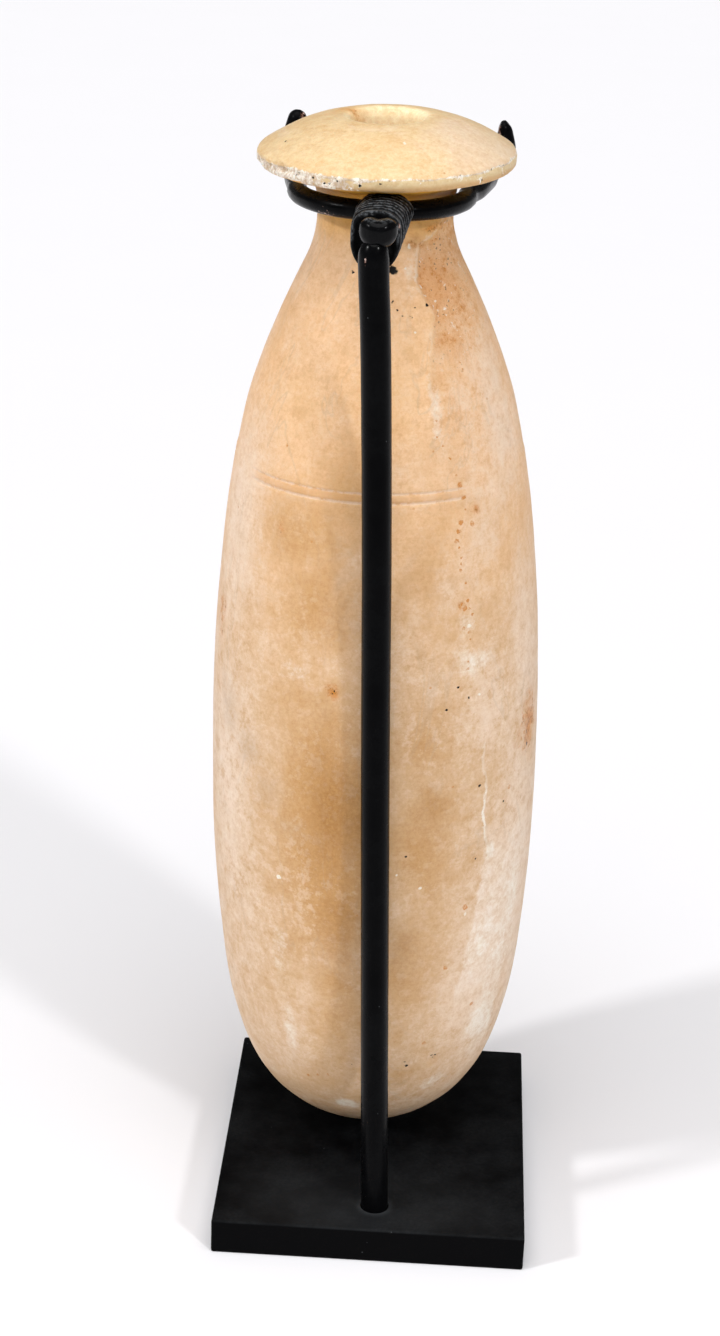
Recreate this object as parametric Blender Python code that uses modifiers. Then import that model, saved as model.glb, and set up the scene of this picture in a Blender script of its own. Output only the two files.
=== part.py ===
"""Alabaster alabastron in a black steel display stand.

The vessel is one hollow carved piece. The stand is a plate, a rod with a
swelled head, a round coupling and an open fork round the vessel's neck.
Sizes are millimetres, turned into metres by MM where a shape is made.
The origin is the middle of the plate's underside, with the rod on -Y.
"""
import math

import bmesh
import bpy
from mathutils import Matrix, Vector

MM = 0.001

# Clearances
TOUCH_GAP = 0.3
SOCKET_GAP = 0.3

# Vessel body, along its own axis from the lowest point
VESSEL_X = -2.94
VESSEL_Y = 12.42
VESSEL_LEAN_X = -0.914
VESSEL_LEAN_Y = 0.900
BELLY_R = 39.0
BELLY_H = 100.0
NECK_R = 15.3
NECK_H = 231.0
NECK_LONG = 6.0
NECK_FILLET_OUT = 3.3
NECK_FILLET_UP = 4.5
# Shares of the belly's height and radius, from the foot up to the belly
LOWER_FORM = (
    (0.0, 0.0), (0.005, 0.123), (0.017, 0.223), (0.036, 0.326), (0.064, 0.433),
    (0.102, 0.554), (0.16, 0.685), (0.25, 0.803), (0.4, 0.903), (0.6, 0.964), (0.8, 0.994),
)
# Shares of the way up from belly to neck, and of the radius between the two
UPPER_FORM = (
    (0.0, 1.0), (0.153, 0.987), (0.305, 0.945), (0.458, 0.867), (0.58, 0.772), (0.687, 0.65),
    (0.763, 0.515), (0.84, 0.346), (0.901, 0.194), (0.954, 0.059), (1.0, 0.0),
)

# Two engraved lines round the shoulder
GROOVE_H = 176.2
GROOVE_APART = 2.3
GROOVE_WIDE = 1.0
GROOVE_DEEP = 0.35

# Rim disc, which sits a little out of square with the body
DISC_R = 28.4
DISC_UNDER_RISE = 3.4
DISC_EDGE_HIGH = 2.3
DISC_EDGE_ROUND = 0.45
DISC_DOME = 7.4
DOME_FLAT_R = 7.0
DISC_LEAN_X = -0.2
DISC_LEAN_Y = 1.5

# Mouth and cavity
BORE_R = 7.6
LIP_WIDE = 1.5
LIP_DROP = 1.2
WALL = 6.0
FLOOR = 12.0

# Rod, which leans a little to the left as the real one does
ROD_D = 6.35
ROD_LEAN_X = -2.1
ROD_LEAN_Y = 0.06
ROD_ASIDE = -0.7
SOCKET_FLOOR = 5.0
HEAD_WIDE = 8.4
HEAD_HIGH = 5.4
HEAD_RISE = 3.2
HEAD_ASIDE = 0.9
HEAD_ROUND = 1.7
HEAD_SEAT = 1.6

# Coupling between rod and fork
BOSS_FRONT_WIDE = 10.4
BOSS_FRONT_TALL = 12.0
BOSS_REAR_WIDE = 12.2
BOSS_REAR_TALL = 6.8
BOSS_DROP = 3.6
BOSS_ASIDE = 0.6
BOSS_SHORT = 0.3
BOSS_BEVEL = 0.6

# Fork, whose wire is held across the coupling's rear end
WIRE_D = 4.4
FORK_DROP = 3.9
FORK_ASIDE = -0.8
FORK_ROOM_FRONT = 3.0
FORK_ROOM_SIDE = 1.4
FORK_OPEN_LEFT = 2.4
FORK_OPEN_RIGHT = 4.1
ARM_BOW = 0.7
FORK_BEND = 5.5
TIP_OUT_LEFT = 0.8
TIP_OUT_RIGHT = 4.2
TIP_BEHIND = 4.3
TIP_ABOVE = 2.8
TIP_HOOK = 5.5
TIP_LEAN = 1.6
TIP_ROUND = 1.2
TIP_TAPER = 0.5

# Base plate, which reaches past the rod by the margin
PLATE_X = 75.0
PLATE_MARGIN = 10.2
PLATE_Z = 9.0
PLATE_BEVEL = 0.5

# Chips in the disc's edge: angle from +X, depth, share of the edge's height, size
CHIPS = (
    (214.0, 0.6, 0.4, 3.2),
    (224.0, 0.9, 0.1, 4.6),
    (238.0, 0.5, 0.9, 3.4),
    (306.0, 0.4, 0.9, 2.8),
)
CHIP_FLAT = 0.55

# Heights that follow from the sizes above
NECK_TOP = NECK_H + NECK_LONG
DISC_UNDER = NECK_TOP + NECK_FILLET_UP
DISC_LOW = DISC_UNDER + DISC_UNDER_RISE
DISC_HIGH = DISC_LOW + DISC_EDGE_HIGH
FORK_Z = DISC_UNDER + TOUCH_GAP - FORK_DROP
SOCKET_DEPTH = PLATE_Z - SOCKET_FLOOR

# Points closer than this are welded after a cut
WELD = 0.01

# Sides of the round pieces
AROUND = 54
WIRE_RESOLUTION = 2
ROD_SIDES = 28
BOSS_SIDES = 32
HEAD_SIDES = 20

ALABASTER = (0.72, 0.52, 0.33, 1.0)
BLACK_PAINT = (0.016, 0.016, 0.018, 1.0)


def clear_scene():
    for obj in list(bpy.context.scene.objects):
        bpy.data.objects.remove(obj, do_unlink=True)


def new_collection(name):
    collection = bpy.data.collections.new(name)
    bpy.context.scene.collection.children.link(collection)
    return collection


def give_material(obj, name, color, roughness):
    mat = bpy.data.materials.new(name)
    mat.use_nodes = True
    shader = mat.node_tree.nodes["Principled BSDF"]
    shader.inputs["Base Color"].default_value = color
    shader.inputs["Roughness"].default_value = roughness
    obj.data.materials.clear()
    obj.data.materials.append(mat)


def link_mesh(name, bm, collection):
    mesh = bpy.data.meshes.new(name)
    bm.to_mesh(mesh)
    bm.free()
    obj = bpy.data.objects.new(name, mesh)
    collection.objects.link(obj)
    return obj


def bake(obj):
    """Replace the object's mesh by the result of its modifiers."""
    bpy.context.view_layer.update()
    graph = bpy.context.evaluated_depsgraph_get()
    mesh = bpy.data.meshes.new_from_object(obj.evaluated_get(graph))
    obj.modifiers.clear()
    obj.data = mesh


def place(obj, matrix):
    """Write a placement into the mesh, so that the object stays unturned."""
    obj.data.transform(matrix)
    obj.data.update()


def combine(obj, other, cutters, operation="DIFFERENCE"):
    """Cut the other object from this one, or join the two."""
    for collection in list(other.users_collection):
        collection.objects.unlink(other)
    cutters.objects.link(other)
    other.hide_render = True
    other.display_type = "WIRE"
    mod = obj.modifiers.new("combine", "BOOLEAN")
    mod.operation = operation
    mod.solver = "EXACT"
    mod.object = other
    bake(obj)
    bm = bmesh.new()
    bm.from_mesh(obj.data)
    bmesh.ops.remove_doubles(bm, verts=bm.verts, dist=WELD * MM)
    bmesh.ops.dissolve_degenerate(bm, edges=bm.edges, dist=WELD * MM)
    bm.to_mesh(obj.data)
    bm.free()


def shade(obj, sharp_angle):
    """Shade smooth, with edges sharper than the angle kept crisp."""
    bm = bmesh.new()
    bm.from_mesh(obj.data)
    for face in bm.faces:
        face.smooth = True
    for edge in bm.edges:
        edge.smooth = edge.calc_face_angle(0.0) < math.radians(sharp_angle)
    bm.to_mesh(obj.data)
    bm.free()


def along(direction):
    """Rotation that takes +Z to a direction."""
    up = Vector((0.0, 0.0, 1.0))
    return up.rotation_difference(direction.normalized()).to_matrix().to_4x4()


def bar(name, radii, start, end, sides, collection):
    """Round bar between two points, with a radius at each."""
    bm = bmesh.new()
    bmesh.ops.create_cone(
        bm, cap_ends=True, segments=sides, radius1=radii[0] * MM, radius2=radii[1] * MM,
        depth=(end - start).length * MM,
    )
    obj = link_mesh(name, bm, collection)
    place(obj, Matrix.Translation((start + end) * 0.5 * MM) @ along(end - start))
    return obj


def smooth_through(points, steps):
    """Points on a smooth curve through the given ones, with steps between two."""
    result = []
    last = len(points) - 1
    for i in range(last):
        before = Vector(points[max(i - 1, 0)])
        start = Vector(points[i])
        end = Vector(points[i + 1])
        after = Vector(points[min(i + 2, last)])
        for k in range(steps):
            t = k / steps
            bend = 2.0 * before - 5.0 * start + 4.0 * end - after
            twist = 3.0 * start - before - 3.0 * end + after
            result.append(start + 0.5 * ((end - before) * t + bend * t ** 2 + twist * t ** 3))
    result.append(Vector(points[last]))
    return result


def body_points():
    """Outer body from the foot up to the neck, as radius and height."""
    lower = [(r * BELLY_R, h * BELLY_H) for h, r in LOWER_FORM]
    rise = NECK_H - BELLY_H
    swell = BELLY_R - NECK_R
    upper = [(NECK_R + r * swell, BELLY_H + h * rise) for h, r in UPPER_FORM]
    return lower + upper


def body_radius(height):
    """Outer radius of the body at a height on its axis."""
    curve = smooth_through(body_points(), 6)
    for low, high in zip(curve, curve[1:]):
        if low.y <= height <= high.y:
            return low.x + (high.x - low.x) * (height - low.y) / (high.y - low.y)
    return NECK_R


def dome_height(radius):
    """Height of the disc's top at a radius."""
    part = (radius - DOME_FLAT_R) / (DISC_R - DOME_FLAT_R)
    return DISC_HIGH + DISC_DOME * (1.0 - part ** 2)


def cavity_profile():
    """Cavity and bore, from the floor on the axis up to the lip."""
    narrow = (BELLY_R - WALL) / BELLY_R
    lower = [
        (r * BELLY_R * narrow, FLOOR + (BELLY_H - FLOOR) * h)
        for h, r in LOWER_FORM if h == 0.0 or h > 0.03
    ]
    spread = BELLY_R - WALL - BORE_R
    upper = [(BORE_R + r * spread, BELLY_H + h * (NECK_H - BELLY_H)) for h, r in UPPER_FORM]
    top = dome_height(BORE_R + LIP_WIDE) - LIP_DROP
    return lower + upper + [(BORE_R, DISC_UNDER), (BORE_R, top - LIP_DROP)]


def lip_profile():
    """Rounded mouth, from the bore out to the dome."""
    edge = BORE_R + LIP_WIDE
    top = dome_height(edge)
    return [
        (BORE_R + 0.15 * LIP_WIDE, top - LIP_DROP),
        (BORE_R + 0.45 * LIP_WIDE, top - 0.35 * LIP_DROP),
        (edge, top),
    ]


def disc_profile():
    """Disc, from the dome over the edge and under to the neck."""
    points = []
    start = BORE_R + LIP_WIDE
    steps = 8
    for i in range(1, steps + 1):
        radius = start + (DISC_R - DISC_EDGE_ROUND - start) * i / steps
        points.append((radius, dome_height(radius)))
    points += [
        (DISC_R, DISC_HIGH - 2.0 * DISC_EDGE_ROUND),
        (DISC_R - DISC_EDGE_ROUND, DISC_LOW),
    ]
    for share_out, share_up in ((1.0, 1.0), (0.55, 0.85), (0.15, 0.5), (0.0, 0.0)):
        out = NECK_FILLET_OUT * share_out
        points.append((NECK_R + out, NECK_TOP + NECK_FILLET_UP * share_up))
    return points


def outer_profile():
    """Neck and body, down to the lowest point, with the engraved lines."""
    marks = []
    for k in (1, 0):
        middle = GROOVE_H + k * GROOVE_APART
        for side, depth in ((0.5, 0.0), (0.0, GROOVE_DEEP), (-0.5, 0.0)):
            height = middle + side * GROOVE_WIDE
            marks.append((body_radius(height) - depth, height))
    near = 2.0 * GROOVE_WIDE
    body = [(v.x, v.y) for v in reversed(smooth_through(body_points(), 1))]
    above = [p for p in body if p[1] > marks[0][1] + near]
    below = [p for p in body if p[1] < marks[-1][1] - near]
    return above + marks + below


def chip_tool(index, angle, depth, share, size, collection):
    """Rough lump that bites a chip out of the disc's edge."""
    bm = bmesh.new()
    bmesh.ops.create_icosphere(bm, subdivisions=1, radius=size * MM)
    bmesh.ops.scale(bm, vec=(CHIP_FLAT, 1.0, CHIP_FLAT), verts=bm.verts)
    obj = link_mesh("chip_%d" % index, bm, collection)
    reach = DISC_R - depth + CHIP_FLAT * size
    height = DISC_LOW + share * DISC_EDGE_HIGH
    spin = Matrix.Rotation(math.radians(angle), 4, "X")
    turn = Matrix.Rotation(math.radians(angle), 4, "Z")
    place(obj, turn @ Matrix.Translation(Vector((reach, 0.0, height)) * MM) @ spin)
    return obj


def build_vessel(collection, cutters):
    profile = cavity_profile() + lip_profile() + disc_profile() + outer_profile()
    bm = bmesh.new()
    verts = [bm.verts.new((r * MM, 0.0, h * MM)) for r, h in profile]
    for start, end in zip(verts, verts[1:]):
        bm.edges.new((start, end))
    obj = link_mesh("alabastron", bm, collection)
    screw = obj.modifiers.new("turn", "SCREW")
    screw.axis = "Z"
    screw.angle = math.tau
    screw.steps = AROUND
    screw.render_steps = AROUND
    screw.use_merge_vertices = True
    screw.merge_threshold = 0.00001
    bake(obj)
    for index, (angle, depth, share, size) in enumerate(CHIPS):
        tool = chip_tool(index, angle, depth, share, size, collection)
        combine(obj, tool, cutters)
    tilt_disc(obj)
    place(obj, vessel_matrix())
    shade(obj, 40.0)
    give_material(obj, "alabaster", ALABASTER, 0.38)


def tilt_disc(obj):
    """Turn the disc with the mouth by its own small lean."""
    lean = Matrix.Rotation(math.radians(DISC_LEAN_X), 3, "Y")
    lean = lean @ Matrix.Rotation(math.radians(DISC_LEAN_Y), 3, "X")
    bm = bmesh.new()
    bm.from_mesh(obj.data)
    disc = [v for v in bm.verts if v.co.z > (NECK_TOP + 0.1 * NECK_FILLET_UP) * MM]
    pivot = Matrix.Translation((0.0, 0.0, -NECK_TOP * MM))
    bmesh.ops.rotate(bm, verts=disc, matrix=lean, space=pivot)
    bm.to_mesh(obj.data)
    bm.free()


def vessel_matrix():
    """Where the vessel stands on the plate, with its lean."""
    lean_x = Matrix.Rotation(math.radians(VESSEL_LEAN_X), 4, "Y")
    lean_y = Matrix.Rotation(math.radians(VESSEL_LEAN_Y), 4, "X")
    foot = Vector((VESSEL_X, VESSEL_Y, PLATE_Z + TOUCH_GAP)) * MM
    return Matrix.Translation(foot) @ lean_x @ lean_y


def axis_point(height):
    """Point of the vessel's axis, that high above its foot."""
    return vessel_matrix() @ Vector((0.0, 0.0, height * MM)) / MM


def rod_direction():
    """Travel of the rod for one millimetre of height."""
    lean_x = math.tan(math.radians(ROD_LEAN_X))
    lean_y = math.tan(math.radians(ROD_LEAN_Y))
    return Vector((lean_x, lean_y, 1.0))


def rod_point(height):
    """Rod's axis above the plate: clear of the belly, in line with the neck."""
    belly = axis_point(BELLY_H)
    near_belly = belly.y - BELLY_R - TOUCH_GAP - 0.5 * ROD_D
    top = rod_top()
    lean = rod_direction()
    x = axis_point(FORK_Z).x + ROD_ASIDE - lean.x * top
    y = near_belly - lean.y * BELLY_H
    return Vector((x, y, PLATE_Z)) + lean * height


def rod_top():
    """Height of the rod above the plate, up to the coupling's middle."""
    return FORK_Z - BOSS_DROP


def build_head(collection):
    """Rounded lump of weld that heads the rod, lying across it."""
    middle = rod_point(rod_top()) + Vector((HEAD_ASIDE, 0.0, HEAD_RISE))
    half = Vector((0.5 * HEAD_WIDE, 0.0, 0.0))
    radius = 0.5 * HEAD_HIGH
    obj = bar("head", (radius, radius), middle - half, middle + half, HEAD_SIDES, collection)
    bevel = obj.modifiers.new("ends", "BEVEL")
    bevel.width = HEAD_ROUND * MM
    bevel.segments = 3
    bevel.angle_limit = math.radians(60.0)
    bake(obj)
    return obj


def build_rod(collection, cutters):
    radius = 0.5 * ROD_D
    foot = rod_point(-SOCKET_DEPTH)
    top = rod_point(rod_top() + HEAD_SEAT)
    obj = bar("rod", (radius, radius), foot, top, ROD_SIDES, collection)
    combine(obj, build_head(collection), cutters, "UNION")
    shade(obj, 40.0)
    give_material(obj, "rod_paint", BLACK_PAINT, 0.42)


def build_plate(collection, cutters):
    depth = 2.0 * (PLATE_MARGIN - rod_point(0.0).y)
    bm = bmesh.new()
    bmesh.ops.create_cube(bm, size=1.0)
    bmesh.ops.scale(bm, vec=Vector((PLATE_X, depth, PLATE_Z)) * MM, verts=bm.verts)
    bmesh.ops.translate(bm, vec=(0.0, 0.0, 0.5 * PLATE_Z * MM), verts=bm.verts)
    obj = link_mesh("base_plate", bm, collection)
    bevel = obj.modifiers.new("edge", "BEVEL")
    bevel.width = PLATE_BEVEL * MM
    bevel.segments = 2
    bake(obj)
    radius = 0.5 * ROD_D + SOCKET_GAP
    foot = rod_point(-SOCKET_DEPTH - SOCKET_GAP)
    socket = bar("socket", (radius, radius), foot, rod_point(PLATE_Z), ROD_SIDES, collection)
    combine(obj, socket, cutters)
    shade(obj, 40.0)
    give_material(obj, "plate_paint", BLACK_PAINT, 0.5)


def fork_arm(side, front, opening, tip_out):
    """Half of the fork's centreline to the right, from the front to the tip."""
    tip_x = side + opening + tip_out
    back = math.sqrt((DISC_R + 0.5 * WIRE_D + TIP_BEHIND) ** 2 - tip_x ** 2)
    tip_z = DISC_HIGH - FORK_Z + TIP_ABOVE
    points = []
    turns = 9
    for i in range(turns + 1):
        angle = math.radians(90.0) * i / turns
        points.append(Vector((side * math.sin(angle), -front * math.cos(angle), 0.0)))
    straight = back - FORK_BEND
    for share in (0.35, 0.7):
        points.append(Vector((side + opening * share ** ARM_BOW, straight * share, 0.0)))
    bends = 5
    for i in range(bends + 1):
        angle = math.radians(90.0) * i / bends
        x = side + opening + tip_out * (1.0 - math.cos(angle))
        y = straight + FORK_BEND * math.sin(angle)
        z = FORK_BEND * (1.0 - math.cos(angle))
        points.append(Vector((x, y, z)))
    foot = Vector((tip_x, back, tip_z - TIP_HOOK))
    tip = Vector((tip_x - TIP_LEAN, back, tip_z))
    points += [foot, foot.lerp(tip, 1.0 - TIP_ROUND / TIP_HOOK), tip]
    return points


def fork_points():
    """Centreline of the fork, from the left tip round the front to the right."""
    side = NECK_R + FORK_ROOM_SIDE + 0.5 * WIRE_D
    front = NECK_R + FORK_ROOM_FRONT + 0.5 * WIRE_D
    right = fork_arm(side, front, FORK_OPEN_RIGHT, TIP_OUT_RIGHT)
    mirror = Matrix.Scale(-1.0, 3, (1.0, 0.0, 0.0))
    left = [mirror @ v for v in fork_arm(side, front, FORK_OPEN_LEFT, TIP_OUT_LEFT)]
    centre = axis_point(FORK_Z)
    centre.x += FORK_ASIDE
    centre.z = PLATE_Z + FORK_Z
    return [centre + v for v in left[:0:-1] + right]


def bent_wire(name, radius, collection):
    """The fork's wire at a radius, as one closed mesh."""
    data = bpy.data.curves.new(name, "CURVE")
    data.dimensions = "3D"
    data.bevel_depth = radius * MM
    data.bevel_resolution = WIRE_RESOLUTION
    data.use_fill_caps = True
    points = fork_points()
    spline = data.splines.new("POLY")
    spline.points.add(len(points) - 1)
    for target, point in zip(spline.points, points):
        target.co = (point * MM).to_4d()
    spline.points[0].radius = TIP_TAPER
    spline.points[-1].radius = TIP_TAPER
    curve = bpy.data.objects.new(name + "_curve", data)
    collection.objects.link(curve)
    bpy.context.view_layer.update()
    graph = bpy.context.evaluated_depsgraph_get()
    mesh = bpy.data.meshes.new_from_object(curve.evaluated_get(graph))
    mesh.transform(curve.matrix_world)
    bm = bmesh.new()
    bm.from_mesh(mesh)
    bmesh.ops.remove_doubles(bm, verts=bm.verts, dist=WELD * MM)
    bmesh.ops.triangulate(bm, faces=[f for f in bm.faces if len(f.verts) == 4])
    bpy.data.objects.remove(curve, do_unlink=True)
    return link_mesh(name, bm, collection)


def build_fork(collection):
    obj = bent_wire("neck_fork", 0.5 * WIRE_D, collection)
    shade(obj, 50.0)
    give_material(obj, "fork_paint", BLACK_PAINT, 0.42)


def build_coupling(collection, cutters):
    """Oval sleeve, round at the rod and flattened over the fork's wire."""
    top = rod_point(rod_top())
    front = top + Vector((0.0, 0.5 * ROD_D + TOUCH_GAP, 0.0))
    neck = axis_point(FORK_Z)
    rear_y = neck.y - NECK_R - FORK_ROOM_FRONT - 0.5 * WIRE_D - BOSS_SHORT
    rear = Vector((neck.x + BOSS_ASIDE, rear_y, PLATE_Z + FORK_Z))
    obj = bar("coupling", (1.0, 1.0), front, rear, BOSS_SIDES, collection)
    front_size = (BOSS_FRONT_WIDE, BOSS_FRONT_TALL)
    rear_size = (BOSS_REAR_WIDE, BOSS_REAR_TALL)
    bm = bmesh.new()
    bm.from_mesh(obj.data)
    at_front = [v for v in bm.verts if v.co.y < 0.5 * (front.y + rear.y) * MM]
    for vertex in bm.verts:
        middle, size = (front, front_size) if vertex in at_front else (rear, rear_size)
        apart = vertex.co / MM - middle
        apart.y = 0.0
        apart.normalize()
        spot = middle + Vector((0.5 * size[0] * apart.x, 0.0, 0.5 * size[1] * apart.z))
        vertex.co = spot * MM
    rim = [e for e in bm.edges if all(v in at_front for v in e.verts)]
    bmesh.ops.bevel(
        bm, geom=rim, offset=BOSS_BEVEL * MM, segments=2, profile=0.5, affect="EDGES",
    )
    bmesh.ops.triangulate(bm, faces=[f for f in bm.faces if len(f.verts) == 4])
    bm.to_mesh(obj.data)
    bm.free()
    hole = bent_wire("fork_hole", 0.5 * WIRE_D + SOCKET_GAP, collection)
    combine(obj, hole, cutters)
    shade(obj, 40.0)
    give_material(obj, "coupling_paint", BLACK_PAINT, 0.55)


def main():
    clear_scene()
    parts = new_collection("alabaster_alabastron")
    cutters = new_collection("cutters")
    build_plate(parts, cutters)
    build_rod(parts, cutters)
    build_coupling(parts, cutters)
    build_fork(parts)
    build_vessel(parts, cutters)


main()
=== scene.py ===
"""Alabaster alabastron held upright in its black steel display stand.

Shapes are worked in millimetres round the vessel's own axis and written into
each mesh in metres. The camera side is -Y, where angles on the stone are 270.
"""

from math import atan2, copysign, cos, degrees, exp, hypot, radians, sin, sqrt, tau

import bmesh
import bpy
from bpy.props import FloatProperty, FloatVectorProperty, PointerProperty
from mathutils import Matrix, Vector, noise


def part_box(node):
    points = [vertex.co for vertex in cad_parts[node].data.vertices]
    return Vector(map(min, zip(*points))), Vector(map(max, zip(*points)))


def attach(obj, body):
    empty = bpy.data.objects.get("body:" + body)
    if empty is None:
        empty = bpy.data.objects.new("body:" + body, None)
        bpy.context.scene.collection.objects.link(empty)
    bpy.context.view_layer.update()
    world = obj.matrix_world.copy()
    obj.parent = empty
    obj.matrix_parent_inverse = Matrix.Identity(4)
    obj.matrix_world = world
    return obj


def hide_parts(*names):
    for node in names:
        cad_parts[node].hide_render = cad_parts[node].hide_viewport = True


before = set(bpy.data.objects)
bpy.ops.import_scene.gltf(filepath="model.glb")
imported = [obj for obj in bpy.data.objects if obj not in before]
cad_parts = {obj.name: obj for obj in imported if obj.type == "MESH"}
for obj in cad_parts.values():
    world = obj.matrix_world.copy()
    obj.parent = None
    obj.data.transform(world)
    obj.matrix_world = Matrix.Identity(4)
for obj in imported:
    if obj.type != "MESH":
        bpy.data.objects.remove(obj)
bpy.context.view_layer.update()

bl_info = {
    "name": "Alabaster alabastron",
    "version": (1, 0, 0),
    "blender": (4, 5, 0),
    "location": "3D View > Sidebar > Alabastron",
    "description": "Carved alabaster oil flask in a black steel display stand",
    "category": "Object",
}

MM = 0.001
PLATE_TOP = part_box("base_plate")[1][2] / MM

# Place of the vessel on the plate, and its lean
VESSEL_FOOT = (-2.94, 12.42, 9.3)
VESSEL_LEAN_X_DEG = -0.914
VESSEL_LEAN_Y_DEG = 0.900

# Outline of the body: height and radius as shares of the belly's
BELLY_H = 100.0
LOWER_FORM = (
    (0, 0), (0.005, 0.123), (0.017, 0.223), (0.036, 0.326), (0.064, 0.433), (0.102, 0.554),
    (0.16, 0.685), (0.25, 0.803), (0.4, 0.903), (0.6, 0.964), (0.8, 0.994),
)
UPPER_FORM = (
    (0, 1), (0.153, 0.987), (0.305, 0.945), (0.458, 0.867), (0.58, 0.772), (0.687, 0.65),
    (0.763, 0.515), (0.84, 0.346), (0.901, 0.194), (0.954, 0.059), (1, 0),
)
NECK_H = 231.0
NECK_TOP = 237.0
NECK_FILLET_OUT = 3.3
NECK_FILLET_UP = 4.5
DISC_LOW = 244.4
DISC_HIGH = 247.2
DISC_DOME = 7.4
DOME_FLAT_R = 7.0
DISC_LEAN_X_DEG = -0.2
DISC_LEAN_Y_DEG = 1.5
LIP_WIDE = 1.5
LIP_DROP = 0.9
ROOF_STEPS = 12
# Forms of the lip and the neck's fillet as shares of their sizes; of the disc's edge in mm
# inward and upward, from its upper and its lower corner
LIP_FORM = ((0.12, 1.7), (0.42, 0.85), (1, 0.22))
NECK_FILLET_FORM = ((1, 1), (0.55, 0.85), (0.15, 0.5), (0, 0))
RIM_HIGH_FORM = ((0.3, 0.05), (0.05, -0.55), (0, -1.3))
RIM_LOW_FORM = ((0.12, 0.45), (0.45, 0.02), (1.1, -0.25))
WALL = 6.0
FLOOR_THICK = 12.0
VESSEL_SIDES = 256

# Engraved lines: height, width and depth, and the angles where they fade out
LINES_H = (176.6, 178.7)
LINE_WIDE = 0.9
LINE_DEEP = 0.32
LINES_FROM = 213.0
LINES_TO = 306.0

# Old crack down the right of the front, from the neck to the belly, as angle and height
CRACK = (
    (332.5, 234), (318, 231), (301.6, 229), (295, 221.8), (299.3, 218.1), (304, 215.5),
    (300.6, 211.1), (296.8, 204.8), (295, 200.6), (295.9, 194.9), (295.3, 192), (300.3, 186.6),
    (304.5, 178.2), (308.5, 170.5), (301.6, 167.4), (304.1, 159.4), (304.6, 150.8),
    (302.8, 146.6),
)
# White mineral streak low on the right; below it the stone to its right is bleached
STREAK = (
    (312.4, 117.2), (312.2, 113.5), (314.2, 106.5), (313.5, 103.1), (313.2, 99.8), (314.8, 92),
    (316.5, 89), (312.8, 83.4), (312.2, 75.3), (311, 70.4), (309.3, 64.6), (307, 56),
)
# Soft patches of colour, most the stone's own, some painted light or shade as marked: angle,
# height, half width, half height in mm, strength
PATCHES = {
    # Those round the front middle and beside the rod, from about 240 to 305, are partly the stone's
    # golden clouds and partly painted shade
    "golden": (
        (257, 96, 15, 36, 1.2), (249, 152, 12, 14, 0.8), (243, 130, 9, 14, 0.55),
        (241, 168, 13, 10, 0.85), (262, 178, 7, 10, 0.6), (262, 52, 9, 20, 0.7),
        (290, 96, 10, 18, 0.75), (284, 60, 12, 18, 0.6), (289, 122, 9, 14, 0.7),
        (291, 160, 6, 10, 0.45), (300, 30, 14, 10, 0.35), (250, 28, 14, 12, 0.3),
        (300, 112, 7, 12, 0.4), (303, 86, 5, 12, 0.35), (80, 120, 16, 40, 0.6),
        (130, 60, 12, 24, 0.5), (40, 160, 12, 26, 0.5),
    ),
    "bleached": (
        (208, 167, 10, 26, 0.9), (212, 100, 10, 34, 0.8), (219, 55, 10, 18, 0.3),
        (337, 138, 9, 26, 0.7), (333, 97, 9, 18, 0.7), (318, 56, 13, 26, 0.9),
        (325, 178, 12, 12, 0.6), (307, 162, 7, 10, 0.5), (298, 157, 3.5, 6, 0.6),
        (330, 200, 9, 12, 0.8), (311, 197, 5, 8, 0.6), (322, 210, 5, 6, 0.4),
        (332, 84, 9, 40, 0.7), (315, 168, 8, 9, 0.6), (331, 106, 8, 14, 0.6),
        (340, 60, 12, 30, 0.6), (316, 128, 8, 16, 0.6), (331, 190, 10, 14, 0.8),
        (238, 38, 12, 14, 0.5), (170, 130, 14, 40, 0.6), (100, 180, 16, 18, 0.5),
        (20, 70, 12, 26, 0.6),
    ),
    # Lighter golden patches below the neck: painted glow of light through the stone
    "upper_painted_glow": (
        (280, 199, 13, 14, 0.5), (290, 205, 6, 12, 0.5), (234, 197, 13, 12, 0.5),
    ),
    "rosy": (
        (308, 221, 7, 7, 1), (303, 216, 3.5, 4, 0.8), (318, 226, 6, 6, 0.5),
        (311, 209, 5, 5, 0.35),
    ),
    # Those beside the rod at the front are partly dark stone and partly painted shade of the rod
    "dusky": (
        (259, 102, 8, 22, 0.75), (261, 74, 6, 16, 0.55), (292, 104, 6, 12, 0.35),
        (283, 68, 7, 10, 0.35), (256, 126, 5, 7, 0.35), (258, 152, 6, 12, 0.35),
        (70, 100, 12, 24, 0.3),
    ),
    "veined": (
        (211, 121, 5, 8, 0.6), (224, 114, 6, 5, 0.6), (234.5, 105.5, 5, 5, 0.55),
        (243, 97, 5, 4, 0.45),
    ),
    "chalk": (
        (317, 89, 1.6, 2, 1.1), (318, 64, 5, 10, 0.5), (328, 60, 7, 14, 0.4),
        (332.6, 71.3, 4, 8, 0.6), (324, 40, 5, 9, 0.9), (305, 148, 2.4, 3, 0.6),
        (308, 138.5, 4.5, 2.6, 0.75), (303, 140.5, 2.2, 2.2, 0.6), (238, 62, 3, 10, 0.3),
        (240, 40, 1.6, 8, 0.5), (262, 18.4, 2.4, 1.3, 1.7), (265.5, 17.2, 1.6, 0.8, 1),
        (243, 136, 4, 3, 0.3), (303, 25, 4, 3, 0.5), (290.5, 222.5, 1.3, 4, 0.5),
        (296, 195, 1.6, 7, 0.6),
    ),
    "stained": (
        (341, 115.8, 3.6, 6.5, 1.3), (332.5, 114.3, 2.6, 2, 0.6),
        (257.4, 133.2, 1.4, 1.5, 0.9), (234, 169, 1.7, 1.9, 0.45), (303.2, 152.2, 1, 1.1, 0.5),
        (309.5, 173.5, 2, 1.2, 0.5), (301, 229.6, 3, 0.9, 0.5), (318, 232.5, 4, 1, 0.5),
        (199.5, 141, 2.6, 6, 0.5),
    ),
}
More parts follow.
